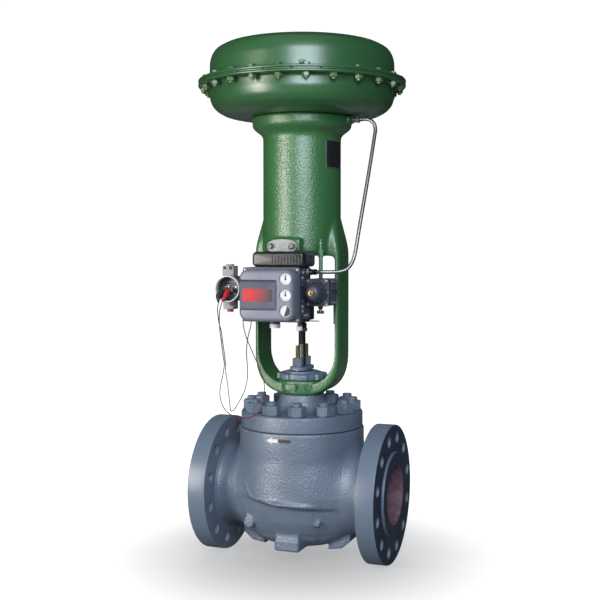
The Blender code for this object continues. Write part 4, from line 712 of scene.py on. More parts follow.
def clip_shells(tip, end, swell=1.0, bow=0.0):
    """A crocodile clip: two toothed jaws, and a boot whose width swells and tapers.

    The boot's middle is moved by bow along minus X, as the sine of its length from 0 to pi.
    """
    tip, end = Vector(tip), Vector(end)
    axis = end - tip
    matrix = Matrix.Translation(tip) @ axis.to_track_quat("Z", "Y").to_matrix().to_4x4()
    share = np.linspace(0.27, 1.0, 40)
    knots = (0.27, 0.34, 0.45, 0.62, 0.78, 0.90, 1.0)
    wide = swell * np.interp(share, knots, (0.0034, 0.0056, 0.0060, 0.0058, 0.0040, 0.0028, 0.0021))
    tall = swell * np.interp(share, knots, (0.0048, 0.0070, 0.0078, 0.0076, 0.0048, 0.0031, 0.0022))
    ribs = 0.00025 * (share > 0.74) * np.sin(share * 150)
    turn = np.linspace(0.0, 2 * PI, 28, endpoint=False)[None, :]
    z = (share * axis.length)[:, None] + 0 * turn
    x = (wide + ribs)[:, None] * np.cos(turn)
    y = (tall + ribs)[:, None] * np.sin(turn)
    rings = np.stack([x, y, z], -1) @ np.array(matrix.to_3x3()).T + np.array(tip)
    rings[..., 0] -= bow * np.sin(PI * (share - 0.27) / 0.73)[:, None]
    shells = [(*lofted(rings), 0)]
    for side in (-1, 1):
        length = axis.length * 0.32
        z = np.linspace(0.0, length, 24)
        teeth = 0.00035 * np.abs((z / 0.0016) % 1.0 - 0.5)
        outer = side * np.interp(z, (0.0, 0.25 * length, length), (0.0018, 0.0028, 0.0040))
        inner = side * (0.0004 + teeth * (z < 0.6 * length))
        half = np.interp(z, (0.0, length), (0.0011, 0.0026))
        rings = np.stack([
            np.stack([half, outer, z], -1), np.stack([-half, outer, z], -1),
            np.stack([-half, inner, z], -1), np.stack([half, inner, z], -1),
        ], 1)
        shells.append((*lofted(rings, matrix), 1))
    return shells


def make_leads():
    """Each lead is a tube along its smoothed route, with its clip at the first end."""
    red, black = lead_routes()
    red_boot = clip_shells((-0.1300, -0.1620, 0.5350), (-0.1343, -0.2057, 0.4965))
    red_clip = piece("red_clip_boot", red_boot, [MAT["red_rubber"], MAT["zinc"]],
                     stands_for=["red_clip"])
    black_boot = clip_shells((-0.1465, -0.1620, 0.5320), (-0.1455, -0.2037, 0.4945), 1.2, 0.0070)
    black_clip = piece("black_clip_boot", black_boot, [MAT["black_rubber"], MAT["zinc"]],
                       stands_for=["black_clip"])
    for colour, route, samples, clip in (("red", red, 34, red_clip), ("black", black, 30, black_clip)):
        path = smooth_route(smooth_route(route, samples), 260)
        lead = piece(f"{colour}_lead_wire", [swept(path, LEAD_R, 12)], MAT[f"{colour}_wire"],
                     stands_for=[f"{colour}_lead"])


# Body and bonnet
def passage(stations, columns=48):
    """Ellipses across a bent line; a station is x, z, tilt, half width, half height."""
    s = np.array(stations, float)
    t = np.linspace(0, len(s) - 1, 6 * len(s))
    x, z, tilt, wide, high = (np.interp(t, np.arange(len(s)), s[:, k])[:, None] for k in range(5))
    lean = np.radians(tilt)
    angle = np.linspace(0.0, 2 * PI, columns, endpoint=False)[None, :]
    up, across = high * np.sin(angle), wide * np.cos(angle)
    return lofted(np.stack([x - up * np.sin(lean), across, z + up * np.cos(lean)], -1))


def line_flange(side):
    """A line flange turned about X, with its raised face and 12 bolt holes."""
    rim, back = FACE - RAISED_H, FACE - RAISED_H - FLANGE_T
    disc = turned([
        (BORE_R, FACE), (RAISED_R, FACE), (RAISED_R, rim), (FLANGE_R, rim), (FLANGE_R, back),
        (HUB_R + 0.010, back), (HUB_R + 0.010, back - 0.004), (BORE_R, back - 0.004),
    ], 160, 0.0022, along_x())
    holes = []
    for _, y, z in spots(12, LINE_BOLT_R, PI / 12):
        holes.append(turned([(0.0, back - 0.02), (LINE_HOLE_R, back - 0.02), (LINE_HOLE_R, FACE + 0.02),
                             (0.0, FACE + 0.02)], 28, 0.0, along_x(0.0, y, z)))
    mesh = carved(shell_mesh("line_flange", [disc]), [], [holes])
    if side < 0:
        mesh.transform(Matrix.Rotation(PI, 4, "Z"))
    return mesh


def smooth_min(a, b, k):
    """The lesser of two distances, with a fillet of about the radius k between them."""
    h = np.clip(0.5 + 0.5 * (b - a) / k, 0.0, 1.0)
    return b + (a - b) * h - k * h * (1 - h)


def body_distance(x, y, z):
    """Distance to the cast skin: a bowl of revolution blended with the pipe along X.

    Both radii run through lists of heights and places. At the front the bowl steps in below
    the skirt line by a logistic curve, with a Gaussian brow and lip above the step. A product
    of sines makes the skin uneven.
    """
    around = np.arctan2(x, -y)
    front = np.exp(-(np.clip(np.abs(around - 0.16) - 0.56, 0.0, None) / 0.24) ** 2)
    skirt = -0.018 - 0.012 * np.sin(around) + 0.020 * np.clip(-around - 0.35, 0.0, 0.6)
    under = 1 / (1 + np.exp((z - skirt) / 0.0014))
    brow = np.exp(-((z - skirt - 0.008) / 0.0055) ** 2) * np.exp(-((around - 0.15) / 0.42) ** 4)
    lip = np.exp(-((z + 0.0115) / 0.0050) ** 2) * np.exp(-((around + 0.06) / 0.15) ** 4)
    levels = (-0.150, -0.1425, -0.138, -0.129, -0.114, -0.092, -0.066, -0.031, 0.0, 0.045, 0.090, 0.130, 0.2)
    wide = (0.010, 0.050, 0.075, 0.099, 0.121, 0.139, 0.151, 0.159, 0.1645, 0.1635, 0.1605, 0.1625, 0.1625)
    radius = np.interp(z, levels, wide) + 0.0085 * brow + 0.0035 * lip
    radius = radius - 0.0195 * front * under * np.clip((z + 0.150) / 0.05, 0, 1)
    uneven = np.sin(52 * x + 2.1 * np.sin(31 * z)) * np.sin(47 * z + 1.3 * np.sin(38 * y))
    bowl = np.hypot(x, y) - radius + 0.0007 * uneven * np.clip((0.125 - z) / 0.03, 0, 1)
    along = (0.0, 0.035, 0.069, 0.103, 0.140, 0.172, 0.192, 0.203, 0.3)
    pipe_wide = (0.133, 0.134, 0.131, 0.119, 0.109, 0.106, 0.1085, 0.117, 0.117)
    pipe = np.hypot(y, z) - np.interp(np.abs(x), along, pipe_wide)
    pipe = np.where(np.abs(x) < 0.2, pipe, pipe + np.abs(x) - 0.2)
    return smooth_min(bowl, pipe, 0.034)


def body_surface():
    """For each direction from the centre, the last place where the blended distance is zero.

    Even steps outwards find it, and halvings of the last step refine it.
    """
    count, halvings = 90, 24
    theta = np.linspace(0.0, PI, 241)[:, None, None]
    phi = np.linspace(0.0, 2 * PI, 360, endpoint=False)[None, :, None]
    across = np.sin(theta)
    ray = np.concatenate([np.cos(theta) + 0 * phi, across * np.cos(phi), across * np.sin(phi)], -1)
    cap = np.minimum(0.24 / np.maximum(np.abs(ray[..., 0]), 1e-6),
                     np.where(ray[..., 2] > 0, 0.185, 0.1425) / np.maximum(np.abs(ray[..., 2]), 1e-6))
    near, far = np.full(cap.shape, 0.09), np.minimum(cap, 0.32)
    steps = np.linspace(0.0, 1.0, count)[:, None, None]
    reach = near + (far - near) * steps
    inside = body_distance(*(reach * ray[..., k] for k in range(3))) < 0
    last = count - 1 - np.argmax(inside[::-1], axis=0)
    low = np.take_along_axis(reach, last[None], 0)[0]
    high = np.minimum(low + (far - near) / (count - 1), far)
    for _ in range(halvings):
        middle = (low + high) / 2
        within = body_distance(*(middle * ray[..., k] for k in range(3))) < 0
        low, high = np.where(within, middle, low), np.where(within, high, middle)
    return sheet_of(low[..., None] * ray)


def on_bowl(x, z):
    """The front of the body at x and z: where the blended distance changes sign along Y."""
    y = np.linspace(-0.20, 0.0, 2001)
    return float(y[np.argmax(body_distance(np.full_like(y, x), y, np.full_like(y, z)) < 0)])


def body_lugs():
    """What is welded onto the skin: lofted feet, bosses of slabs and turned discs, a swept ridge."""
    rings = []
    for z, half_x, half_y in ((-0.1405, 0.031, 0.037), (-0.1375, 0.034, 0.040), (-0.1120, 0.034, 0.040),
                              (-0.1090, 0.032, 0.037), (-0.1075, 0.032, 0.036), (-0.0900, 0.031, 0.034),
                              (-0.0860, 0.027, 0.024)):
        flat = rounded_rect(half_x, half_y, 0.006)
        rings.append(np.column_stack([flat + [0.003, -0.084], np.full(len(flat), z)]))
    foot = lofted(rings)
    feet = []
    for side in (-1, 1):
        outline = np.array([(0.086, -0.147), (0.124, -0.141), (0.147, -0.121), (0.150, -0.096),
                            (0.110, -0.080)])
        x, z = side * outline[:, 0], outline[:, 1]
        feet.append(lofted([np.column_stack([x, np.full(5, y), z]) for y in (-0.045, 0.045)]))
    boss = slab(0.0100, 0.0190, 0.0080, 0.0, 0.034, 0.002, along_y(-0.086, -0.100, -0.062))
    disc = turned([(0.0, 0.0), (0.0145, 0.0), (0.0145, 0.034), (0.0, 0.034)], 48, 0.001,
                  along_y(-0.090, -0.101, -0.074))
    second_boss = turned([(0.0, 0.0), (0.0100, 0.0), (0.0100, 0.0130), (0.0, 0.0130)],
                         32, 0.001, along_y(on_bowl(0.083, -0.060) + 0.009, 0.083, -0.060))
    crest = ((-0.1085, 0.030), (-0.0990, 0.014), (-0.0870, -0.001), (-0.0740, -0.0045), (-0.0580, -0.0040))
    ridge_line = [(x, on_bowl(x, z) - 0.0002, z) for x, z in crest]
    ridge = swept(smooth_route(ridge_line, 24), 0.0026, 12)
    return [[foot], feet, [boss], [disc], [second_boss], [ridge]]


def body_cutters():
    """What is cut from the skin: all past its faces, the gallery, the lower bowl and two passages."""
    back = FACE - RAISED_H - FLANGE_T
    above = slab(0.30, 0.30, 0.01, BODY_TOP, 0.30, 0.001)
    ends = [slab(0.30, 0.30, 0.01, back + 0.006, 0.40, 0.001, along_x() @ Matrix.Rotation(turn, 4, "Y"))
            for turn in (0.0, PI)]
    lower_top = WEB_TOP - WEB_T
    hollows = [
        turned([(0.0, WEB_TOP), (GALLERY_R, WEB_TOP), (GALLERY_R, BODY_TOP + 0.01), (0.0, BODY_TOP + 0.01)],
               96, 0.0),
        turned([(0.0, BOWL_BOTTOM + 0.018), (0.060, BOWL_BOTTOM + 0.018), (0.088, BOWL_BOTTOM + 0.045),
                (0.088, lower_top - 0.008), (0.080, lower_top), (0.080, WEB_TOP + 0.01),
                (0.0, WEB_TOP + 0.01)], 64, 0.0),
    ]
    beyond = back + 0.020
    inlet = passage([
        (beyond, 0.0, 0, BORE_R, BORE_R), (0.205, 0.0, 0, BORE_R, BORE_R), (0.170, 0.005, -8, 0.075, 0.067),
        (0.110, 0.022, -10, 0.080, 0.051), (0.060, 0.030, 0, 0.080, 0.044),
    ])
    outlet = passage([
        (0.010, -0.094, 0, 0.072, 0.0270), (-0.060, -0.093, 0, 0.075, 0.0285),
        (-0.104, -0.082, -30, 0.076, 0.030), (-0.137, -0.055, -42, 0.076, 0.0385),
        (-0.170, -0.026, -32, 0.076, 0.056), (-0.200, -0.009, -16, 0.076, 0.069),
        (-0.216, 0.0, 0, BORE_R, BORE_R), (-beyond, 0.0, 0, BORE_R, BORE_R),
    ])
    return [[above], ends, [hollows[0]], [hollows[1]], [inlet], [outlet]]


def make_body():
    """The cast skin with its lugs, less its cutters, rounded, flanged and painted by region."""
    solid = carved(shell_mesh("valve_casting", [body_surface()]), body_lugs(), body_cutters())
    casting = as_cast(solid, voxel=0.0031, passes=4)
    bm = bmesh.new()
    bm.from_mesh(casting)
    paints = ("blue_cast", "blue_machined", "bore_primer", "flange_face_painted_shade", "hole_grey")
    for side in (-1, 1):
        flange = line_flange(side)
        for polygon in flange.polygons:
            polygon.material_index = paints.index("blue_machined")
        bm.from_mesh(flange)
    for face in bm.faces:
        centre = face.calc_center_median()
        reach = math.hypot(centre.y, centre.z)
        in_bore = reach < 0.0775 and abs(centre.x) > 0.10 and face.normal.dot((0, centre.y, centre.z)) < 0
        # Faces looking out along X at the flange ends take the darkened blue, which is painted shade.
        faces_out = abs(face.normal.x) > 0.9 and abs(centre.x) > 0.24
        in_bolt_hole = abs(centre.x) > 0.204 and 0.13 < reach < 0.162 and abs(face.normal.x) < 0.3
        if in_bore:
            face.material_index = paints.index("bore_primer")
        elif faces_out:
            face.material_index = paints.index("flange_face_painted_shade")
        elif in_bolt_hole:
            face.material_index = paints.index("hole_grey")
    mesh = bpy.data.meshes.new("valve_body_cast")
    bm.to_mesh(mesh)
    bm.free()
    show("valve_body_cast", mesh, [MAT[kind] for kind in paints], stands_for=["valve_body"])


def make_bonnet():
    """The bonnet turned from its bore out over flange and neck, and under it a dark ring in the joint as
    painted shadow of the gap.
    """
    top = BONNET_BASE + 0.040
    neck = turned([
        (0.0102, 0.1775), (0.060, 0.1715), (0.072, 0.1475), (GALLERY_R - 0.0008, 0.1475),
        (GALLERY_R - 0.0008, BONNET_BASE), (0.159, BONNET_BASE), (0.159, top - 0.003), (0.156, top),
        (0.092, top), (0.077, top + 0.004), (0.0680, top + 0.013), (0.0615, top + 0.028),
        (0.0575, BONNET_SHOULDER), (SPUD_R, BONNET_SHOULDER), (SPUD_R, BONNET_TOP), (0.0165, BONNET_TOP),
        (0.0165, BONNET_SHOULDER), (0.0102, BONNET_SHOULDER),
    ], 160, 0.0022)
    low, high = 0.16535, 0.16655
    # A thin dark ring fills the gap under the bonnet flange: painted shadow.
    joint_shadow_sheet = turned([(0.1195, low), (0.1585, low), (0.1585, high), (0.1195, high)], 96, 0.0)
    piece("bonnet_forged", [neck], MAT["blue_cast"], stands_for=["bonnet"])
    piece("joint_shadow_ring", [joint_shadow_sheet], MAT["graphite"])


def make_bonnet_studs():
    """Each nut is a chamfered hexagon on a washer face, with a little thread above it."""
    seat = BONNET_BASE + 0.0403
    high = seat + 0.0250
    for k, (angle, x, y) in enumerate(spots(12, STUD_CIRCLE_R, PI / 12)):
        matrix = at(x, y, 0.0, angle + 0.35 * k)
        shells = [
            turned([(0.0, 0.135), (0.0127, 0.135), (0.0127, seat), (0.0, seat)], 32, 0.0, matrix),
            turned([(0.0, seat), (0.0196, seat), (0.0196, seat + 0.0012), (0.0, seat + 0.0012)],
                   40, 0.0002, matrix),
            hex_nut(0.0413, seat + 0.0008, high, matrix),
            threaded(0.0127, high - 0.001, high + 0.009, 0.0032, matrix, 0.0012, 32),
        ]
        node = f"bonnet_stud_{k + 1:02d}"
        piece(f"{node}_nut", shells, MAT["blue_nut"], stands_for=[node])


def make_packing():
    """The packing flange's two studs, each with a hexagon nut on a thread."""
    nut = BONNET_TOP + 0.0123
    nut_top = nut + 0.0225
    for k, side in enumerate((-1, 1)):
        matrix = at(0.0, side * 0.031, 0.0, 0.3 * k)
        shells = [
            (*turned([(0.0, 0.2895), (0.00625, 0.2895), (0.00625, nut), (0.0, nut)], 24, 0.0, matrix), 0),
            (*threaded(0.00625, nut, nut_top + 0.033, 0.0016, matrix, 0.0008, 24), 0),
            (*hex_nut(0.0250, nut, nut_top, matrix), 1),
            (*turned([(0.0, nut_top), (0.0102, nut_top), (0.0098, nut_top + 0.0008), (0.0, nut_top + 0.0008)],
                     24, 0.0, matrix), 1),
        ]
        node = f"packing_stud_{k + 1}"
        piece(f"{node}_threaded", shells, [MAT["gold_stud"], MAT["blue_nut"]], stands_for=[node])


def make_stem():
    """The turned valve stem, the thread on its upper end and the two locknuts on it."""
    low = float(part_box("valve_stem")[0][2])
    nut, middle, top = 0.4115, 0.4225, 0.4335
    shells = [
        (*turned([(0.0, low), (0.0095, low), (0.0095, 0.3790), (0.0, 0.3790)], 48, 0.0004), 0),
        (*threaded(0.0095, 0.3785, 0.4532, 0.0014, None, 0.0007, 36), 0),
        (*hex_nut(0.0240, nut, middle - 0.0004), 1),
        (*hex_nut(0.0240, middle + 0.0002, top, Matrix.Rotation(0.3, 4, "Z")), 1),
    ]
    piece("valve_stem_turned", shells, [MAT["stem"], MAT["dark_steel"]], "stem", ["valve_stem"])


def make_locknut():
    """A turned ring whose rim rises 6.2 mm at eight lugs, by a logistic step across each lug."""
    low, high = BOSS_TOP + 0.0003, BOSS_TOP + 0.0163
    angle = np.linspace(0.0, 2 * PI, 240, endpoint=False)[None, :]
    from_lug = np.abs(angle % (PI / 4) - PI / 8) * 0.060
    lug = 1 / (1 + np.exp((from_lug - 0.0112) / 0.0007))
    outline = softened([(0.0455, low), (0.060, low), (0.060, high - 0.002), (0.057, high), (0.0455, high)],
                       0.0015)
    outline = np.vstack([outline, outline[:1]])
    outer = np.clip((outline[:, 0] - 0.0560) / 0.004, 0, 1)[:, None]
    r = outline[:, 0][:, None] + 0.0062 * lug * outer
    z = outline[:, 1][:, None] + 0 * r
    nut = sheet_of(np.stack([r * np.cos(angle), r * np.sin(angle), z], -1))
    piece("yoke_locknut_lugged", [nut], MAT["blue_cast"], stands_for=["yoke_locknut"])


# Yoke
def arch(z, depth, width, power):
    """Half width of a U at height z: a superellipse below the arch's centre, straight above."""
    below = np.clip((ARCH_Z - z) / depth, 0.0, 1.0)
    return width * (1 - below**power) ** (1 / power)


def legs():
    """Rounded rectangles up the yoke: the U at the bottom, then the flare into the barrel."""
    rings = []
    depth = ARCH_Z - YOKE_BASE + 0.0006
    rise = np.array([0.0, 0.020, 0.045, 0.075, 0.104, 0.130])
    narrower = np.array([0.0, 0.0012, 0.0052, 0.0110, 0.0165, 0.0210])
    swing = np.sin(np.linspace(0.0, PI / 2, 26))
    heights = np.concatenate([ARCH_Z - (ARCH_Z - YOKE_BASE - 0.0012) * swing[::-1],
                              np.linspace(ARCH_Z + 0.02, WINDOW_TOP, 12),
                              WINDOW_TOP + np.linspace(0.006, 0.130, 20)])
    for z in heights:
        up = z - WINDOW_TOP
        half = arch(z, depth, LEG_HALF_X, 2.8) - np.interp(up, rise, narrower)
        deep = LEG_HALF_Y + np.interp(up, (0.0, 0.030, 0.130), (0.0, 0.002, -0.014))
        flat = rounded_rect(max(float(half), 0.035), deep, np.interp(up, (0.0, 0.130), (0.010, 0.028)), 64)
        rings.append(np.column_stack([flat, np.full(64, z)]))
    return lofted(rings)


def window():
    """The yoke's opening along Y: rounded top corners, straight sides and a superellipse below."""
    half = LEG_HALF_X - LEG_T
    corner = 0.012
    depth = ARCH_Z - BOSS_TOP + 0.014
    turn = np.linspace(0.0, PI / 2, 8)
    top = np.column_stack([half - corner * (1 - np.sin(turn)), WINDOW_TOP - corner * (1 - np.cos(turn))])
    z = ARCH_Z - depth * np.sin(np.linspace(0.0, PI / 2, 30)[:-1])
    side = np.vstack([top, np.column_stack([arch(z, depth, half, 2.4), z])])
    outline = np.vstack([side, side[::-1] * [-1, 1]])
    x, z = outline[:, 0], outline[:, 1]
    return lofted([np.column_stack([x, np.full(len(outline), y), z]) for y in (-0.070, 0.070)])


def make_yoke():
    """Legs, barrel, boss and pads welded, window and bores cut, then rounded; raised bars on the boss."""
    barrel = turned([
        (0.0, WINDOW_TOP + 0.0035), (BARREL_R - 0.010, WINDOW_TOP + 0.0035),
        (BARREL_R - 0.003, WINDOW_TOP + 0.0065), (BARREL_R, WINDOW_TOP + 0.0145),
        (BARREL_R, YOKE_TOP - 0.054), (BARREL_R + 0.003, YOKE_TOP - 0.046),
        (BARREL_R + 0.023, YOKE_TOP - 0.031), (0.1285, YOKE_TOP - 0.024), (0.129, YOKE_TOP),
        (0.0, YOKE_TOP),
    ], 144, 0.004)
    boss = turned([
        (0.0, YOKE_BASE), (0.058, YOKE_BASE), (0.0605, YOKE_BASE + 0.004), (0.0605, BOSS_TOP - 0.003),
        (0.0575, BOSS_TOP), (0.0, BOSS_TOP),
    ], 96, 0.002)
    pads = [
        slab(0.041, 0.0169, 0.006, 0.618, 0.653, 0.004, at(-0.005, -0.0968, 0.0)),
        slab(0.0132, 0.019, 0.005, YOKE_TOP - 0.019, YOKE_TOP - 0.0015, 0.003, at(0.1233, 0.0, 0.0)),
    ]
    bore = [turned([(0.0, WINDOW_TOP - 0.050), (0.0275, WINDOW_TOP - 0.050), (0.0275, WINDOW_TOP + 0.023),
                    (0.088, WINDOW_TOP + 0.023), (0.088, WEB_UNDER_TOP), (0.040, WEB_UNDER_TOP),
                    (0.040, YOKE_TOP + 0.020), (0.0, YOKE_TOP + 0.020)], 72, 0.0)]
    lower = [turned([(0.0, YOKE_BASE - 0.010), (0.0456, YOKE_BASE - 0.010), (0.0456, BOSS_TOP + 0.010),
                     (0.0, BOSS_TOP + 0.010)], 72, 0.0)]
    solid = carved(shell_mesh("yoke_casting", [legs()]), [[barrel]], [[window()]])
    solid = carved(solid, [[boss], [pads[0]], [pads[1]]], [bore, lower])
    casting = as_cast(solid, voxel=0.0030, passes=8)
    bm = bmesh.new()
    bm.from_mesh(casting)
    marks = [slab(0.0152, 0.0090, 0.0060, 0.0, 0.0175, 0.0016, along_y(-0.0495, -0.0075, 0.2705))]
    for x, y, lean in ((-0.0330, -0.0450, 0.40), (0.0250, -0.0480, 0.40), (0.0385, -0.0400, -0.45)):
        turn = Matrix.Rotation(lean, 4, "Z")
        marks.append(slab(0.0014, 0.0100, 0.0012, 0.0, 0.0100, 0.0008, along_y(y, x, 0.2695) @ turn, 16))
    bm.from_mesh(shell_mesh("marks", marks))
    bm.to_mesh(casting)
    bm.free()
    show("yoke_cast", casting, [MAT["green_cast"]], stands_for=["yoke"], sharp=60)


# Actuator casings
def make_lower_casing():
    """The lower bowl, turned about Z, with a nut and a screw's end at each of 24 places."""
    floor = YOKE_TOP + 0.0003
    lower = turned([
        (0.0402, floor), (0.145, floor), (0.190, floor + 0.0040), (0.203, floor + 0.0075),
        (0.222, floor + 0.018), (0.233, floor + 0.031), (CASING_R, floor + 0.050), (CASING_R, RIM_BASE),
        (RIM_R, RIM_BASE), (RIM_R, RIM_BASE + RIM_T), (0.234, RIM_BASE + RIM_T), (0.234, floor + 0.051),
        (0.2262, floor + 0.0325), (0.2010, floor + 0.0148), (0.144, floor + 0.005), (0.0402, floor + 0.005),
    ], 200, 0.007)
    nuts = []
    for angle, x, y in spots(24, CASING_SCREW_R, PI / 24):
        matrix = at(x, y, 0.0, angle)
        nuts.append((*hex_nut(0.0172, RIM_BASE - 0.0105, RIM_BASE - 0.0004, matrix, columns=36), 1))
        end = turned([(0.0, RIM_BASE - 0.0160), (0.0035, RIM_BASE - 0.0155), (0.0050, RIM_BASE - 0.0135),
                      (0.0050, RIM_BASE - 0.0080), (0.0, RIM_BASE - 0.0080)], 16, 0.0, matrix)
        nuts.append((*end, 1))
    piece("lower_casing_pressed", [(*lower, 0)] + nuts, [MAT["green_sheet"], MAT["green_nut"]],
          stands_for=["lower_casing"])


def make_upper_casing():
    """The dome, turned about Z, with 24 screw heads, a vent and the diaphragm's edge under its rim."""
    base = RIM_BASE + RIM_T + 0.0036
    rim_top = base + RIM_T
    top = CASING_TOP
    upper = turned([
        (RIM_R, base), (RIM_R, rim_top), (CASING_R + 0.003, rim_top), (CASING_R, rim_top + 0.004),
        (CASING_R - 0.001, top - 0.055), (CASING_R - 0.006, top - 0.038), (0.224, top - 0.025),
        (0.203, top - 0.0135), (0.120, top - 0.0042), (0.0, top), (0.0, top - 0.005), (0.119, top - 0.0092),
        (0.201, top - 0.0183), (0.2205, top - 0.0290), (0.2285, top - 0.0405), (0.233, top - 0.055),
        (0.233, base),
    ], 200, 0.007)
    heads = []
    for angle, x, y in spots(24, CASING_SCREW_R, PI / 24):
        heads.append((*hex_nut(0.0165, rim_top - 0.0005, rim_top + 0.0060, at(x, y, 0.0, angle), columns=36,
                               ends=(False, True)), 0))
    vent = Matrix.Rotation(math.radians(-69.6), 4, "Z") @ along_x(CASING_R - 0.004, 0.0, 1.0690)
    heads.append((*slab(0.0045, 0.0085, 0.0040, 0.0, 0.0085, 0.0015, vent, 24), 0))
    # The black strip across the vent stands for its slot: painted shade.
    heads.append((*slab(0.0014, 0.0068, 0.0010, 0.0080, 0.0092, 0.0003, vent, 16), 1))
    piece("upper_casing_pressed", [(*upper, 0)] + heads, [MAT["green_sheet"], MAT["black_plastic"]],
          stands_for=["upper_casing"])
    edge = turned([(0.2560, 1.0491), (0.2662, 1.0491), (0.2662, 1.0519), (0.2560, 1.0519)], 128, 0.0004)
    piece("diaphragm_edge", [edge], MAT["green_sheet"])


# Positioner
def make_cover():
    """Rounded shell with a recessed band, three gauge pockets and a proud rim round them."""
    matrix = along_y(0.0, COVER_X, COVER_Z)
    half_x, half_z = 0.0713, 0.0630
    steps = (
        (0.2123, 0.0), (COVER_FACE - 0.011, 0.0), (COVER_FACE - 0.0075, 0.0006),
        (COVER_FACE - 0.0045, 0.0020), (COVER_FACE - 0.0022, 0.0040), (COVER_FACE - 0.0008, 0.0062),
        (COVER_FACE, 0.0090),
    )
    rings = []
    for depth, inset in steps:
        flat = rounded_rect(half_x - inset, half_z - inset, 0.022 - inset * 0.8, 96)
        rings.append(np.column_stack([flat, np.full(96, depth)]))
    shell = lofted(rings, matrix)
    band = []
    recess = ((COVER_FACE - 0.0042, 0.0068), (COVER_FACE - 0.0034, 0.0052), (COVER_FACE + 0.0012, 0.0))
    for depth, inset in recess:
        flat = rounded_rect(0.0580 - inset, 0.0383 - inset, 0.004, 48) + [-0.0276, 0.5153 - COVER_Z]
        band.append(np.column_stack([flat, np.full(48, depth)]))
    floor, mouth = COVER_FACE - 0.0105, COVER_FACE + 0.01
    pockets = [turned([(0.0, floor), (0.0149, floor), (0.0149, mouth), (0.0, mouth)], 48, 0.0,
                      along_y(0.0, GAUGE_X, height)) for height in GAUGE_HEIGHTS]
    mesh = carved(shell_mesh("cover", [shell]), [], [[lofted(band, matrix)], pockets])
    for face in mesh.polygons:
        x, y, z = face.center
        inside = -0.0870 < x < 0.0310 and abs(z - 0.5153) < 0.0385
        face.material_index = int(inside and -COVER_FACE + 0.0001 < y < -COVER_FACE + 0.0080)
    cover = show("positioner_cover_shell", mesh, [MAT["cover"], MAT["cover_band"]],
                 stands_for=["positioner_cover"])
    bevel = cover.modifiers.new("edges", "BEVEL")
    bevel.width, bevel.segments, bevel.limit_method = 0.0005, 2, "ANGLE"
    bevel.angle_limit = math.radians(40)
    label = slab(0.0386, 0.0155, 0.0012, 0.0, 0.0006, 0.0002,
                 along_y(-COVER_FACE + 0.0043, -0.0280, 0.5150), 24)
    piece("label_blank", [label], MAT["label_red"])


def make_gauges():
    """Each gauge is a turned bezel and dial: two have ticks on a 270 degree arc, one a face half painted
    black as painted shadow.
    """
    for name, height in zip(("supply_gauge", "output_gauge", "blank_gauge"), GAUGE_HEIGHTS):
        matrix = along_y(-0.2334, GAUGE_X, height)
        shells = [
            (*turned([(0.0, -0.0030), (0.0143, -0.0030), (0.0143, 0.0048), (0.0136, 0.0052), (0.0130, 0.0048),
                      (0.0128, 0.0035), (0.0, 0.0035)], 64, 0.0003, matrix), 0),
        ]
        if name != "blank_gauge":
            for k in range(28):
                turn = math.radians(-225 + 10 * k)
                long = k % 5 == 0 or k == 27
                wide, tall, out = (0.00036, 0.0016, 0.0101) if long else (0.00022, 0.0009, 0.0108)
                spot = matrix @ Matrix.Rotation(turn, 4, "Z") @ at(0.0, out)
                shells.append((*slab(wide, tall, 0.0001, 0.00340, 0.00362, 0.00002, spot, 8), 1))
        else:
            # The black half of the blank's face is painted shadow.
            angle = np.linspace(math.radians(-108), math.radians(72), 40)
            shadow_arc = np.stack([0.0126 * np.cos(angle), 0.0126 * np.sin(angle), np.full(40, 0.00365)], -1)
            shadow_chord = np.linspace(shadow_arc[-1], shadow_arc[0], 40)[::-1]
            shells.append((*sheet_of(np.stack([shadow_arc, shadow_chord]), matrix, wrap=False), 1))
        piece(f"{name}_dial", shells, [MAT["dial"], MAT["ink_and_painted_shadow"]], stands_for=[name])


def make_relay_cover():
    """A hood of rounded slabs: ribs on its face, rows of small ribs on top, five fins behind."""
    left, right, low, high = -0.0555, 0.0795, 0.5828, 0.6200
    half_x, half_z = (right - left) / 2, (high - low) / 2
    matrix = along_y(0.0, (left + right) / 2, (low + high) / 2)
    shells = [slab(half_x - 0.0045, half_z - 0.0035, 0.006, 0.1240, 0.2000, 0.001, matrix),
              slab(half_x, half_z, 0.011, 0.1780, 0.2050, 0.0070, matrix, 64)]
    for k in range(5):
        y = 0.1230 + 0.0108 * k
        shells.append(slab(half_x, half_z, 0.009, y, y + 0.0050, 0.0014, matrix))
    rib_places = -0.0140 + 0.0078 * np.arange(10)
    for x in rib_places:
        spot = matrix @ at(x, -0.0005)
        shells.append(slab(0.0015, half_z - 0.0090, 0.0014, 0.2040, 0.2062, 0.0008, spot, 16))
    for y in np.arange(0.1830, 0.2000, 0.0055):
        for x in rib_places:
            spot = at((left + right) / 2 + x, -y, high - 0.0002)
            shells.append(slab(0.0012, 0.0016, 0.0011, 0.0, 0.0007, 0.0003, spot, 12))
    piece("relay_cover_ribbed", shells, MAT["black_plastic"], stands_for=["relay_cover"])


# Terminal box
def terminal_row(floor, matrix):
    """The block on the box's floor with four turned screws, each with a slot across its head."""
    block = slab(0.0200, 0.0110, 0.002, floor - 0.001, floor + 0.0090, 0.0008, matrix @ at(0.0, 0.0005))
    shells = [(*block, 4)]
    seat, top = floor + 0.0085, floor + 0.0112
    for k in range(4):
        x = -0.0145 + 0.0097 * k
        screw = turned([(0.0, seat), (0.0034, seat), (0.0034, top), (0.0, top)], 20, 0.0004,
                       matrix @ at(x, 0.003))
        slot = slab(0.0003, 0.0030, 0.0002, top, top + 0.0002, 0.00005, matrix @ at(x, 0.003, 0.0, 0.5 + k))
        shells += [(*screw, 5), (*slot, 4)]
    return shells


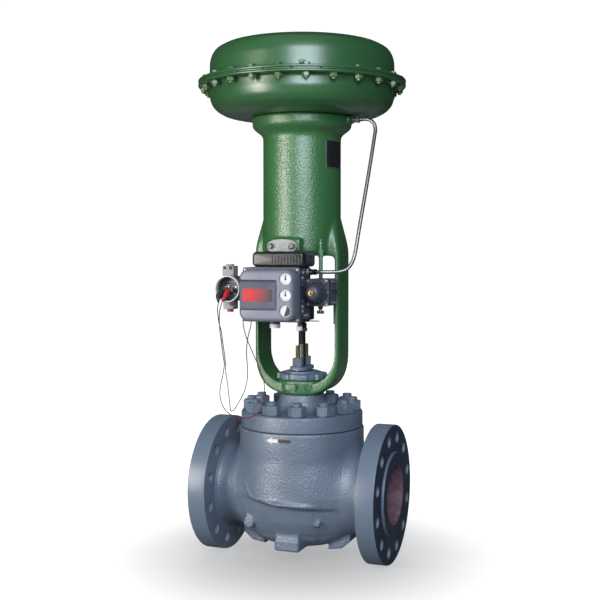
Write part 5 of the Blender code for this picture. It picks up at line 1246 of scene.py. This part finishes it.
def make_terminal_box():
    """A turned box with a white rim, threads, two conduit blocks, a cap, a plug and screws round it."""
    matrix = along_y(0.0, TERMINAL_X, TERMINAL_Z)
    floor, rim, inner = 0.1500, 0.1850, TERMINAL_R - 0.0035
    over, under = TERMINAL_Z + TERMINAL_R, TERMINAL_Z - TERMINAL_R
    ring = turned([
        (0.0, 0.1250), (TERMINAL_R - 0.004, 0.1250), (TERMINAL_R - 0.001, 0.1290),
        (TERMINAL_R - 0.001, rim - 0.006), (inner + 0.0004, rim - 0.006), (inner + 0.0004, floor),
        (0.0, floor),
    ], 96, 0.0012, matrix)
    white = turned([(inner, rim - 0.014), (TERMINAL_R, rim - 0.006), (TERMINAL_R, rim), (inner, rim)],
                   96, 0.0008, matrix)
    threads = []
    for k in range(5):
        top = rim - 0.0075 - 0.0022 * k
        threads.append(turned([(TERMINAL_R - 0.0015, top), (TERMINAL_R - 0.0004, top - 0.0009),
                               (TERMINAL_R - 0.0015, top - 0.0018)], 96, 0.0, matrix))
    neck = slab(0.0168, 0.0190, 0.004, 0.1320, 0.1700, 0.002,
                along_y(0.0, (TERMINAL_X + inner + 0.001 - 0.0683) / 2, TERMINAL_Z - 0.001))
    hub_spot = at(-0.1345, -0.1570)
    hubs = [slab(0.0155, 0.0150, 0.003, over - 0.0035, over + 0.0240, 0.0015, hub_spot),
            slab(0.0145, 0.0150, 0.003, under - 0.0180, under + 0.0035, 0.0015, at(-0.1335, -0.1570))]
    cap = turned([(0.0, over + 0.0225), (0.0100, over + 0.0225), (0.0100, over + 0.0280),
                  (0.0, over + 0.0280)], 36, 0.0008, hub_spot)
    plug = turned([(0.0, under - 0.0250), (0.0080, under - 0.0250), (0.0085, under - 0.0165),
                   (0.0, under - 0.0165)], 36, 0.0010, hub_spot)
    shells = [(*ring, 0), (*white, 2), (*neck, 0), (*hubs[0], 1), (*hubs[1], 1), (*cap, 1), (*plug, 3)]
    shells += [(*thread, 0) for thread in threads]
    shells += terminal_row(floor, matrix)
    for x, z, radius in ((-0.1265, 0.5795, 0.0042), (-0.1425, 0.5795, 0.0032), (-0.1235, 0.4890, 0.0042)):
        shells.append((*turned([(0.0, 0.1715), (radius, 0.1715), (radius, 0.1750), (radius * 0.55, 0.1756),
                                (radius * 0.5, 0.1738), (0.0, 0.1738)], 24, 0.0003, along_y(0.0, x, z)), 4))
    kinds = ("slate", "hub_silver", "ring_white", "red_rubber", "black_plastic", "zinc")
    piece("terminal_box_round", shells, [MAT[kind] for kind in kinds], stands_for=["terminal_box"])


# Regulator
def small_screw(x, z, depth, radius=0.0032, high=0.0028):
    """A turned screw head facing -Y, with a round recess."""
    top, recess = depth + high, depth + high * 0.3
    return turned([(0.0, depth - 0.001), (radius, depth - 0.001), (radius, depth + high * 0.7),
                   (radius * 0.8, top), (radius * 0.5, top), (radius * 0.45, recess), (0.0, recess)],
                  20, 0.0002, along_y(0.0, x, z))


def make_regulator_body():
    """A block between rounded plates, with side screws, crossed braces and a turned spout."""
    matrix = along_y(0.0, REGULATOR_X, REGULATOR_Z)
    half = REGULATOR_HALF
    body = [
        (*slab(0.0282, 0.0310, 0.005, 0.0830, 0.1430, 0.002, matrix @ at(-0.0010)), 0),
        (*slab(half, 0.0340, 0.010, 0.1400, 0.1473, 0.0015, matrix), 0),
        (*turned([(0.0, -0.0420), (0.0060, -0.0420), (0.0060, -0.0290), (0.0, -0.0290)], 32, 0.0006,
                 at(REGULATOR_X - 0.0060, -0.1150, REGULATOR_Z)), 0),
    ]
    for k in range(3):
        y = 0.0860 + 0.0180 * k
        body.append((*slab(half, 0.0335, 0.006, y, y + 0.0050, 0.0012, matrix), 0))
    for y in (0.0885, 0.1065, 0.1245):
        for up in (-1, 1):
            screw = turned([(0.0, 0.0), (0.0036, 0.0), (0.0036, 0.0022), (0.0026, 0.0030), (0.0, 0.0030)],
                           20, 0.0003, along_x(REGULATOR_X + half - 0.0008, -y, REGULATOR_Z + up * 0.0260))
            body.append((*screw, 1))
    for k in range(2):
        y = 0.0975 + 0.0180 * k
        for up in (-1, 1):
            spot = along_x(REGULATOR_X + half - 0.0022, -y, REGULATOR_Z) @ Matrix.Rotation(0.42 * up, 4, "Z")
            body.append((*slab(0.0022, 0.0200, 0.0020, 0.0, 0.0022, 0.0008, spot, 16), 0))
    piece("regulator_body_cast", body, [MAT["slate"], MAT["zinc"]], stands_for=["regulator_body"])


def make_regulator_spring_case():
    """A turned hood on a rounded plate, with twelve ribs round it, four arms and five screws."""
    matrix = along_y(0.0, REGULATOR_X, REGULATOR_Z)
    half = REGULATOR_HALF
    seat = 0.1476
    case = [(*slab(half, 0.0340, 0.010, seat, seat + 0.0060, 0.0012, matrix), 0),
            (*turned([(0.0, seat + 0.004), (0.0265, seat + 0.004), (0.0265, seat + 0.014),
                      (0.0235, seat + 0.020), (0.0215, seat + 0.036), (0.0195, seat + 0.044),
                      (0.0150, seat + 0.050), (0.0090, seat + 0.0525), (0.0, seat + 0.0525)],
                     96, 0.003, matrix), 0)]
    for k in range(12):
        turn = 2 * PI * k / 12
        rib = slab(0.0014, 0.0013, 0.0010, seat + 0.006, seat + 0.032, 0.0008,
                   matrix @ Matrix.Rotation(turn, 4, "Z") @ at(0.0238), 12)
        case.append((*rib, 0))
    for side in (-1, 1):
        for up in (-1, 1):
            lean = math.atan2(up * 0.0285, side * (half - 0.0050))
            arm = slab(0.0070, 0.0040, 0.0020, seat + 0.005, seat + 0.0095, 0.0012,
                       matrix @ Matrix.Rotation(lean, 4, "Z") @ at(0.0300), 16)
            case.append((*arm, 0))
    for side in (-1, 1):
        for up in (-1, 0, 1):
            if side > 0 or up:
                x = REGULATOR_X + side * (half - 0.0050 if up else half - 0.0020)
                screw = small_screw(x, REGULATOR_Z + up * 0.0285, seat + 0.0080, 0.0040, 0.0030)
                case.append((*screw, 1))
    piece("regulator_spring_case_cast", case, [MAT["slate"], MAT["zinc"]],
          stands_for=["regulator_spring_case"])


def make_regulator_screw():
    """The adjusting screw: a turned collar, a hexagon and a thread."""
    matrix = along_y(-0.2004, REGULATOR_X, REGULATOR_Z)
    screw = [
        turned([(0.0, 0.0), (0.0060, 0.0), (0.0060, 0.0030), (0.0, 0.0030)], 32, 0.0005, matrix),
        hex_nut(0.0078, 0.0028, 0.0085, matrix, columns=36),
        threaded(0.0030, 0.0080, 0.0148, 0.0010, matrix, 0.0004, 20),
    ]
    piece("regulator_screw_brass", screw, MAT["brass"], "adjuster", ["regulator_screw"])


def make_drain():
    """The drain cock: a turned tip with a flat handle across it."""
    matrix = at(REGULATOR_X - 0.0060, -0.1150, 0.4777)
    drain = [turned([(0.0, -0.0110), (0.0034, -0.0110), (0.0040, -0.0080), (0.0040, 0.0), (0.0, 0.0)],
                    28, 0.0005, matrix),
             slab(0.0095, 0.0015, 0.0012, -0.0120, -0.0040, 0.0007, matrix, 24)]
    piece("drain_valve_brass", drain, MAT["gold_stud"], "drain", ["drain_valve"])


# Tube, riser and small things
def make_tube():
    """The air tube swept along its route, and the turned and hexagonal fittings at its ends."""
    route = [
        (0.0941, -0.1480, 0.5700), (0.1070, -0.1476, 0.5700), (0.1270, -0.1400, 0.5700),
        (0.1460, -0.1300, 0.5712), (0.1620, -0.1240, 0.5770), (0.1740, -0.1185, 0.5930),
        (0.1810, -0.1130, 0.6200), (0.1860, -0.0960, 0.6800), (0.1935, -0.0520, 0.8000),
        (0.1985, -0.0110, 0.9080), (0.1985, -0.0030, 0.9300), (0.1935, -0.0005, 0.9450),
        (0.1820, 0.0, 0.9535), (0.1690, 0.0, 0.9560), (0.1560, 0.0, 0.9560),
    ]
    piece("air_tube_bent", [swept(smooth_route(route, 160), 0.00475, 24)], MAT["tube"],
          stands_for=["air_tube"])
    upper = along_x(0.1368, 0.0, 0.9560)
    piece("tube_fitting_upper_hex", [
        (*turned([(0.0, 0.0), (0.0098, 0.0), (0.0098, 0.0040), (0.0, 0.0040)], 32, 0.0006, upper), 1),
        (*turned([(0.0, 0.0035), (0.0070, 0.0035), (0.0070, 0.0130), (0.0, 0.0130)], 32, 0.0, upper), 2),
        (*hex_nut(0.0150, 0.0052, 0.0092, upper, columns=36), 0),
        (*hex_nut(0.0172, 0.0112, 0.0186, upper, columns=36), 0),
    ], [MAT["zinc"], MAT["green_fitting_painted_highlight"], MAT["dark_steel"]], stands_for=["tube_fitting_upper"])
    lower = along_x(0.0683, -0.1480, 0.5700)
    piece("tube_fitting_lower_hex", [
        turned([(0.0, 0.0), (0.0060, 0.0), (0.0060, 0.0250), (0.0, 0.0250)], 32, 0.0004, lower),
        hex_nut(0.0150, 0.0040, 0.0130, lower, columns=36),
        hex_nut(0.0140, 0.0160, 0.0248, lower, columns=36),
    ], MAT["dark_steel"], stands_for=["tube_fitting_lower"])
    cross = at(0.0723, -0.1565, 0.5700)
    piece("tube_fitting_cross", [
        slab(0.0024, 0.0024, 0.0012, -0.0072, 0.0072, 0.0006, cross, 16),
        turned([(0.0, -0.0040), (0.0021, -0.0040), (0.0021, 0.0105), (0.0, 0.0105)], 20, 0.0004,
               cross @ Matrix.Rotation(PI / 2, 4, "Y")),
        turned([(0.0, -0.0010), (0.0036, -0.0010), (0.0036, 0.0040), (0.0, 0.0040)], 20, 0.0004,
               cross @ Matrix.Rotation(PI / 2, 4, "X")),
    ], MAT["zinc"])


def make_riser():
    """The vent riser: a turned pipe, a hexagon and a stepped cap."""
    base = REGULATOR_Z + 0.0313
    matrix = at(0.0860, -0.0975, 0.0)
    piece("vent_riser_pipe", [
        turned([(0.0, base), (0.0050, base), (0.0050, 0.6062), (0.0, 0.6062)], 32, 0.0004, matrix),
        hex_nut(0.0125, 0.6060, 0.6240, matrix, columns=36),
        turned([(0.0, 0.6235), (0.0046, 0.6235), (0.0046, 0.6270), (0.0036, 0.6290), (0.0042, 0.6310),
                (0.0034, 0.6340), (0.0040, 0.6360), (0.0030, 0.6440), (0.0020, 0.6460), (0.0018, 0.6510),
                (0.0, 0.6510)], 32, 0.0004, matrix),
    ], MAT["green_fitting_painted_highlight"], stands_for=["vent_riser"])


def make_small_screws():
    """Turned heads and caps on the housing: ear screws, side plugs, frame screws and vent caps."""
    shells = []
    for x in (-0.0393, 0.0180):
        shells.append((*small_screw(x, 0.6336, 0.1268, 0.0056, 0.0034), 0))
        shells.append((*turned([(0.0, 0.1262), (0.0080, 0.1262), (0.0080, 0.1276), (0.0, 0.1276)], 28, 0.0003,
                               along_y(0.0, x, 0.6336)), 1))
    piece("ear_screw_heads", shells, [MAT["hub_silver"], MAT["dark_steel"]])
    shells = []
    for y, z, radius in ((-0.1800, 0.5690, 0.0036), (-0.1830, 0.5560, 0.0042), (-0.1830, 0.4865, 0.0046),
                         (-0.1830, 0.4755, 0.0040), (-0.1700, 0.4640, 0.0036), (-0.1500, 0.4640, 0.0036)):
        shells.append(turned([(0.0, 0.0), (radius, 0.0), (radius, 0.0026), (radius * 0.8, 0.0034),
                              (radius * 0.5, 0.0034), (radius * 0.45, 0.0016), (0.0, 0.0016)], 24, 0.0003,
                             along_x(0.0676, y, z)))
    piece("housing_side_plugs", shells, MAT["hub_silver"])
    corners = [(-0.0700, 0.5755), (0.0660, 0.5755), (-0.0700, 0.4555), (0.0660, 0.4555)]
    shells = [small_screw(x, z, 0.2120, 0.0030, 0.0016) for x, z in corners]
    piece("frame_corner_screws", shells, MAT["zinc"])
    cap = turned([(0.0, 0.4322), (0.0128, 0.4322), (0.0134, 0.4400), (0.0128, 0.4430), (0.0, 0.4430)],
                 48, 0.001, at(-0.0040, -0.1800))
    second = turned([(0.0, 0.4250), (0.0074, 0.4250), (0.0077, 0.4310), (0.0074, 0.4358), (0.0, 0.4358)],
                    32, 0.0008, at(0.0483, -0.1500))
    piece("vent_cap_white", [cap, second], MAT["white_cap"])


def make_nameplate():
    """A thin plate bent round the barrel between two azimuths, with a raised border."""
    angle = np.radians(np.linspace(-33.0, 9.0, 40))
    shells = []
    for low, high, first, last, radius, number in (
        (0.8320, 0.9020, 0, 40, BARREL_R + 0.0012, 0), (0.8320, 0.8338, 0, 40, BARREL_R + 0.0016, 1),
        (0.9002, 0.9020, 0, 40, BARREL_R + 0.0016, 1), (0.8320, 0.9020, 0, 2, BARREL_R + 0.0016, 1),
        (0.8320, 0.9020, 38, 40, BARREL_R + 0.0016, 1),
    ):
        a = angle[first:last]
        corners = ((BARREL_R - 0.0005, low), (radius, low), (radius, high), (BARREL_R - 0.0005, high))
        edges = [np.stack([r * np.cos(a), r * np.sin(a), np.full_like(a, z)], -1) for r, z in corners]
        shells.append((*lofted(np.stack(edges, 1)), number))
    piece("nameplate_blank", shells, [MAT["plate_black"], MAT["zinc"]])


def make_flow_arrow():
    """A plain arrow on the neck: points of a flat outline wrapped round the cylinder."""
    radius = BODY_NECK_R + 0.0002
    middle = 0.1490

    def wrapped(outline, thick, number):
        """The outline's x becomes an angle round the neck, its y a height."""
        rings = []
        for r in (radius - 0.0015, radius + thick):
            turn = -PI / 2 + outline[:, 0] / radius
            rings.append(np.column_stack([r * np.cos(turn), r * np.sin(turn), middle + outline[:, 1]]))
        return (*lofted(np.array(rings)), number)

    head = np.array([(-0.036, 0.0), (-0.020, -0.0075), (-0.020, -0.0042), (-0.004, -0.0042), (-0.004, 0.0042),
                     (-0.020, 0.0042), (-0.020, 0.0075)])
    tail = np.array([(-0.004, -0.0042), (0.026, -0.0042), (0.031, 0.0), (0.026, 0.0042), (-0.004, 0.0042)])
    piece("flow_arrow", [wrapped(head, 0.0010, 0), wrapped(tail, 0.0007, 1)],
          [MAT["arrow_white"], MAT["arrow_brown"]])


NODE_FINISH = {
    "packing_flange": "blue_nut", "packing_rings": "graphite", "bonnet_gasket": "graphite",
    "seat_ring": "steel", "valve_cage": "steel", "valve_plug": "steel",
    "actuator_stem": "stem", "seal_bushing": "brass", "diaphragm": "rubber",
    "diaphragm_plate": "dark_steel", "spring_seat": "dark_steel", "actuator_spring": "dark_steel",
    "travel_pointer": "dark_steel", "magnet_bar": "dark_steel", "connector_front": "black_iron",
    "connector_back": "black_iron", "travel_scale": "zinc", "positioner_bracket": "silver_plate",
    "positioner_housing": "slate", "supply_needle": "ink_and_painted_shadow", "output_needle": "ink_and_painted_shadow",
}

BLOCKY_NODES = ("positioner_housing", "positioner_bracket", "connector_front", "connector_back",
                "packing_flange")


def dress_nodes():
    """CAD nodes that stay get a finish and merged corners and flats; the blocky ones get bevels."""
    for name, kind in NODE_FINISH.items():
        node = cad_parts[name]
        node.data.materials.clear()
        node.data.materials.append(MAT[kind])
        weld = node.modifiers.new("weld", "WELD")
        weld.merge_threshold = 1e-5
        flat = node.modifiers.new("flat", "DECIMATE")
        flat.decimate_type, flat.angle_limit = "DISSOLVE", math.radians(0.5)
        if name in BLOCKY_NODES:
            bevel = node.modifiers.new("edges", "BEVEL")
            bevel.width, bevel.segments, bevel.limit_method = 0.0005, 2, "ANGLE"
            bevel.angle_limit = math.radians(40)


# Stage
def make_stage():
    """A pale floor that curves up into a far wall; its glow is seen but lights nothing.

    The glow grows with the distance from the valve, so that the floor is grey only near it: a painted shadow
    round the valve.
    """
    material = bpy.data.materials.new("pale_floor")
    material.use_nodes = True
    nodes, links = material.node_tree.nodes, material.node_tree.links
    shader = nodes["Principled BSDF"]
    shader.inputs["Base Color"].default_value = (0.15, 0.15, 0.152, 1)
    shader.inputs["Roughness"].default_value = 0.9
    shader.inputs["Emission Color"].default_value = (1.0, 1.0, 1.0, 1)
    path = nodes.new("ShaderNodeLightPath")
    place = nodes.new("ShaderNodeTexCoord")
    length = nodes.new("ShaderNodeVectorMath")
    length.operation = "LENGTH"
    links.new(place.outputs["Object"], length.inputs[0])
    # The dim glow near the valve is a painted shadow; far off, the floor glows full white.
    near, far, dim, full = 0.12, 0.70, 0.35, 1.02
    glow = add_range(material.node_tree, length.outputs["Value"], near, far, dim, full, "SMOOTHSTEP")
    strength = add_math(material.node_tree, "MULTIPLY", path.outputs["Is Camera Ray"], glow)
    links.new(strength, shader.inputs["Emission Strength"])
    turn = np.linspace(0.0, PI / 2, 16)
    y = np.concatenate([[-9.0, 0.0], 2.5 + 2.0 * np.sin(turn), [4.5]])
    z = np.concatenate([[0.0, 0.0], 2.0 * (1 - np.cos(turn)), [8.0]]) + FLOOR_Z
    x = np.array([-9.0, 9.0])
    points = np.stack(np.broadcast_arrays(x[None, :], y[:, None], z[:, None]), -1)
    flat, quads = sheet_of(points, Matrix.Rotation(math.radians(20.4), 4, "Z"), wrap=False)
    mesh = shell_mesh("floor", [(flat, quads)])
    mesh.materials.append(material)
    mesh.shade_smooth()
    floor = bpy.data.objects.new("floor", mesh)
    bpy.context.scene.collection.objects.link(floor)


make_camera()
make_leads()
make_body()
make_bonnet()
make_bonnet_studs()
make_packing()
make_stem()
make_locknut()
make_yoke()
make_lower_casing()
make_upper_casing()
make_cover()
make_gauges()
make_relay_cover()
make_terminal_box()
make_regulator_body()
make_regulator_spring_case()
make_regulator_screw()
make_drain()
make_tube()
make_riser()
make_small_screws()
make_nameplate()
make_flow_arrow()
dress_nodes()
make_stage()
make_world()
make_lights()
bpy.context.scene.view_settings.view_transform = "Standard"
bpy.context.view_layer.update()
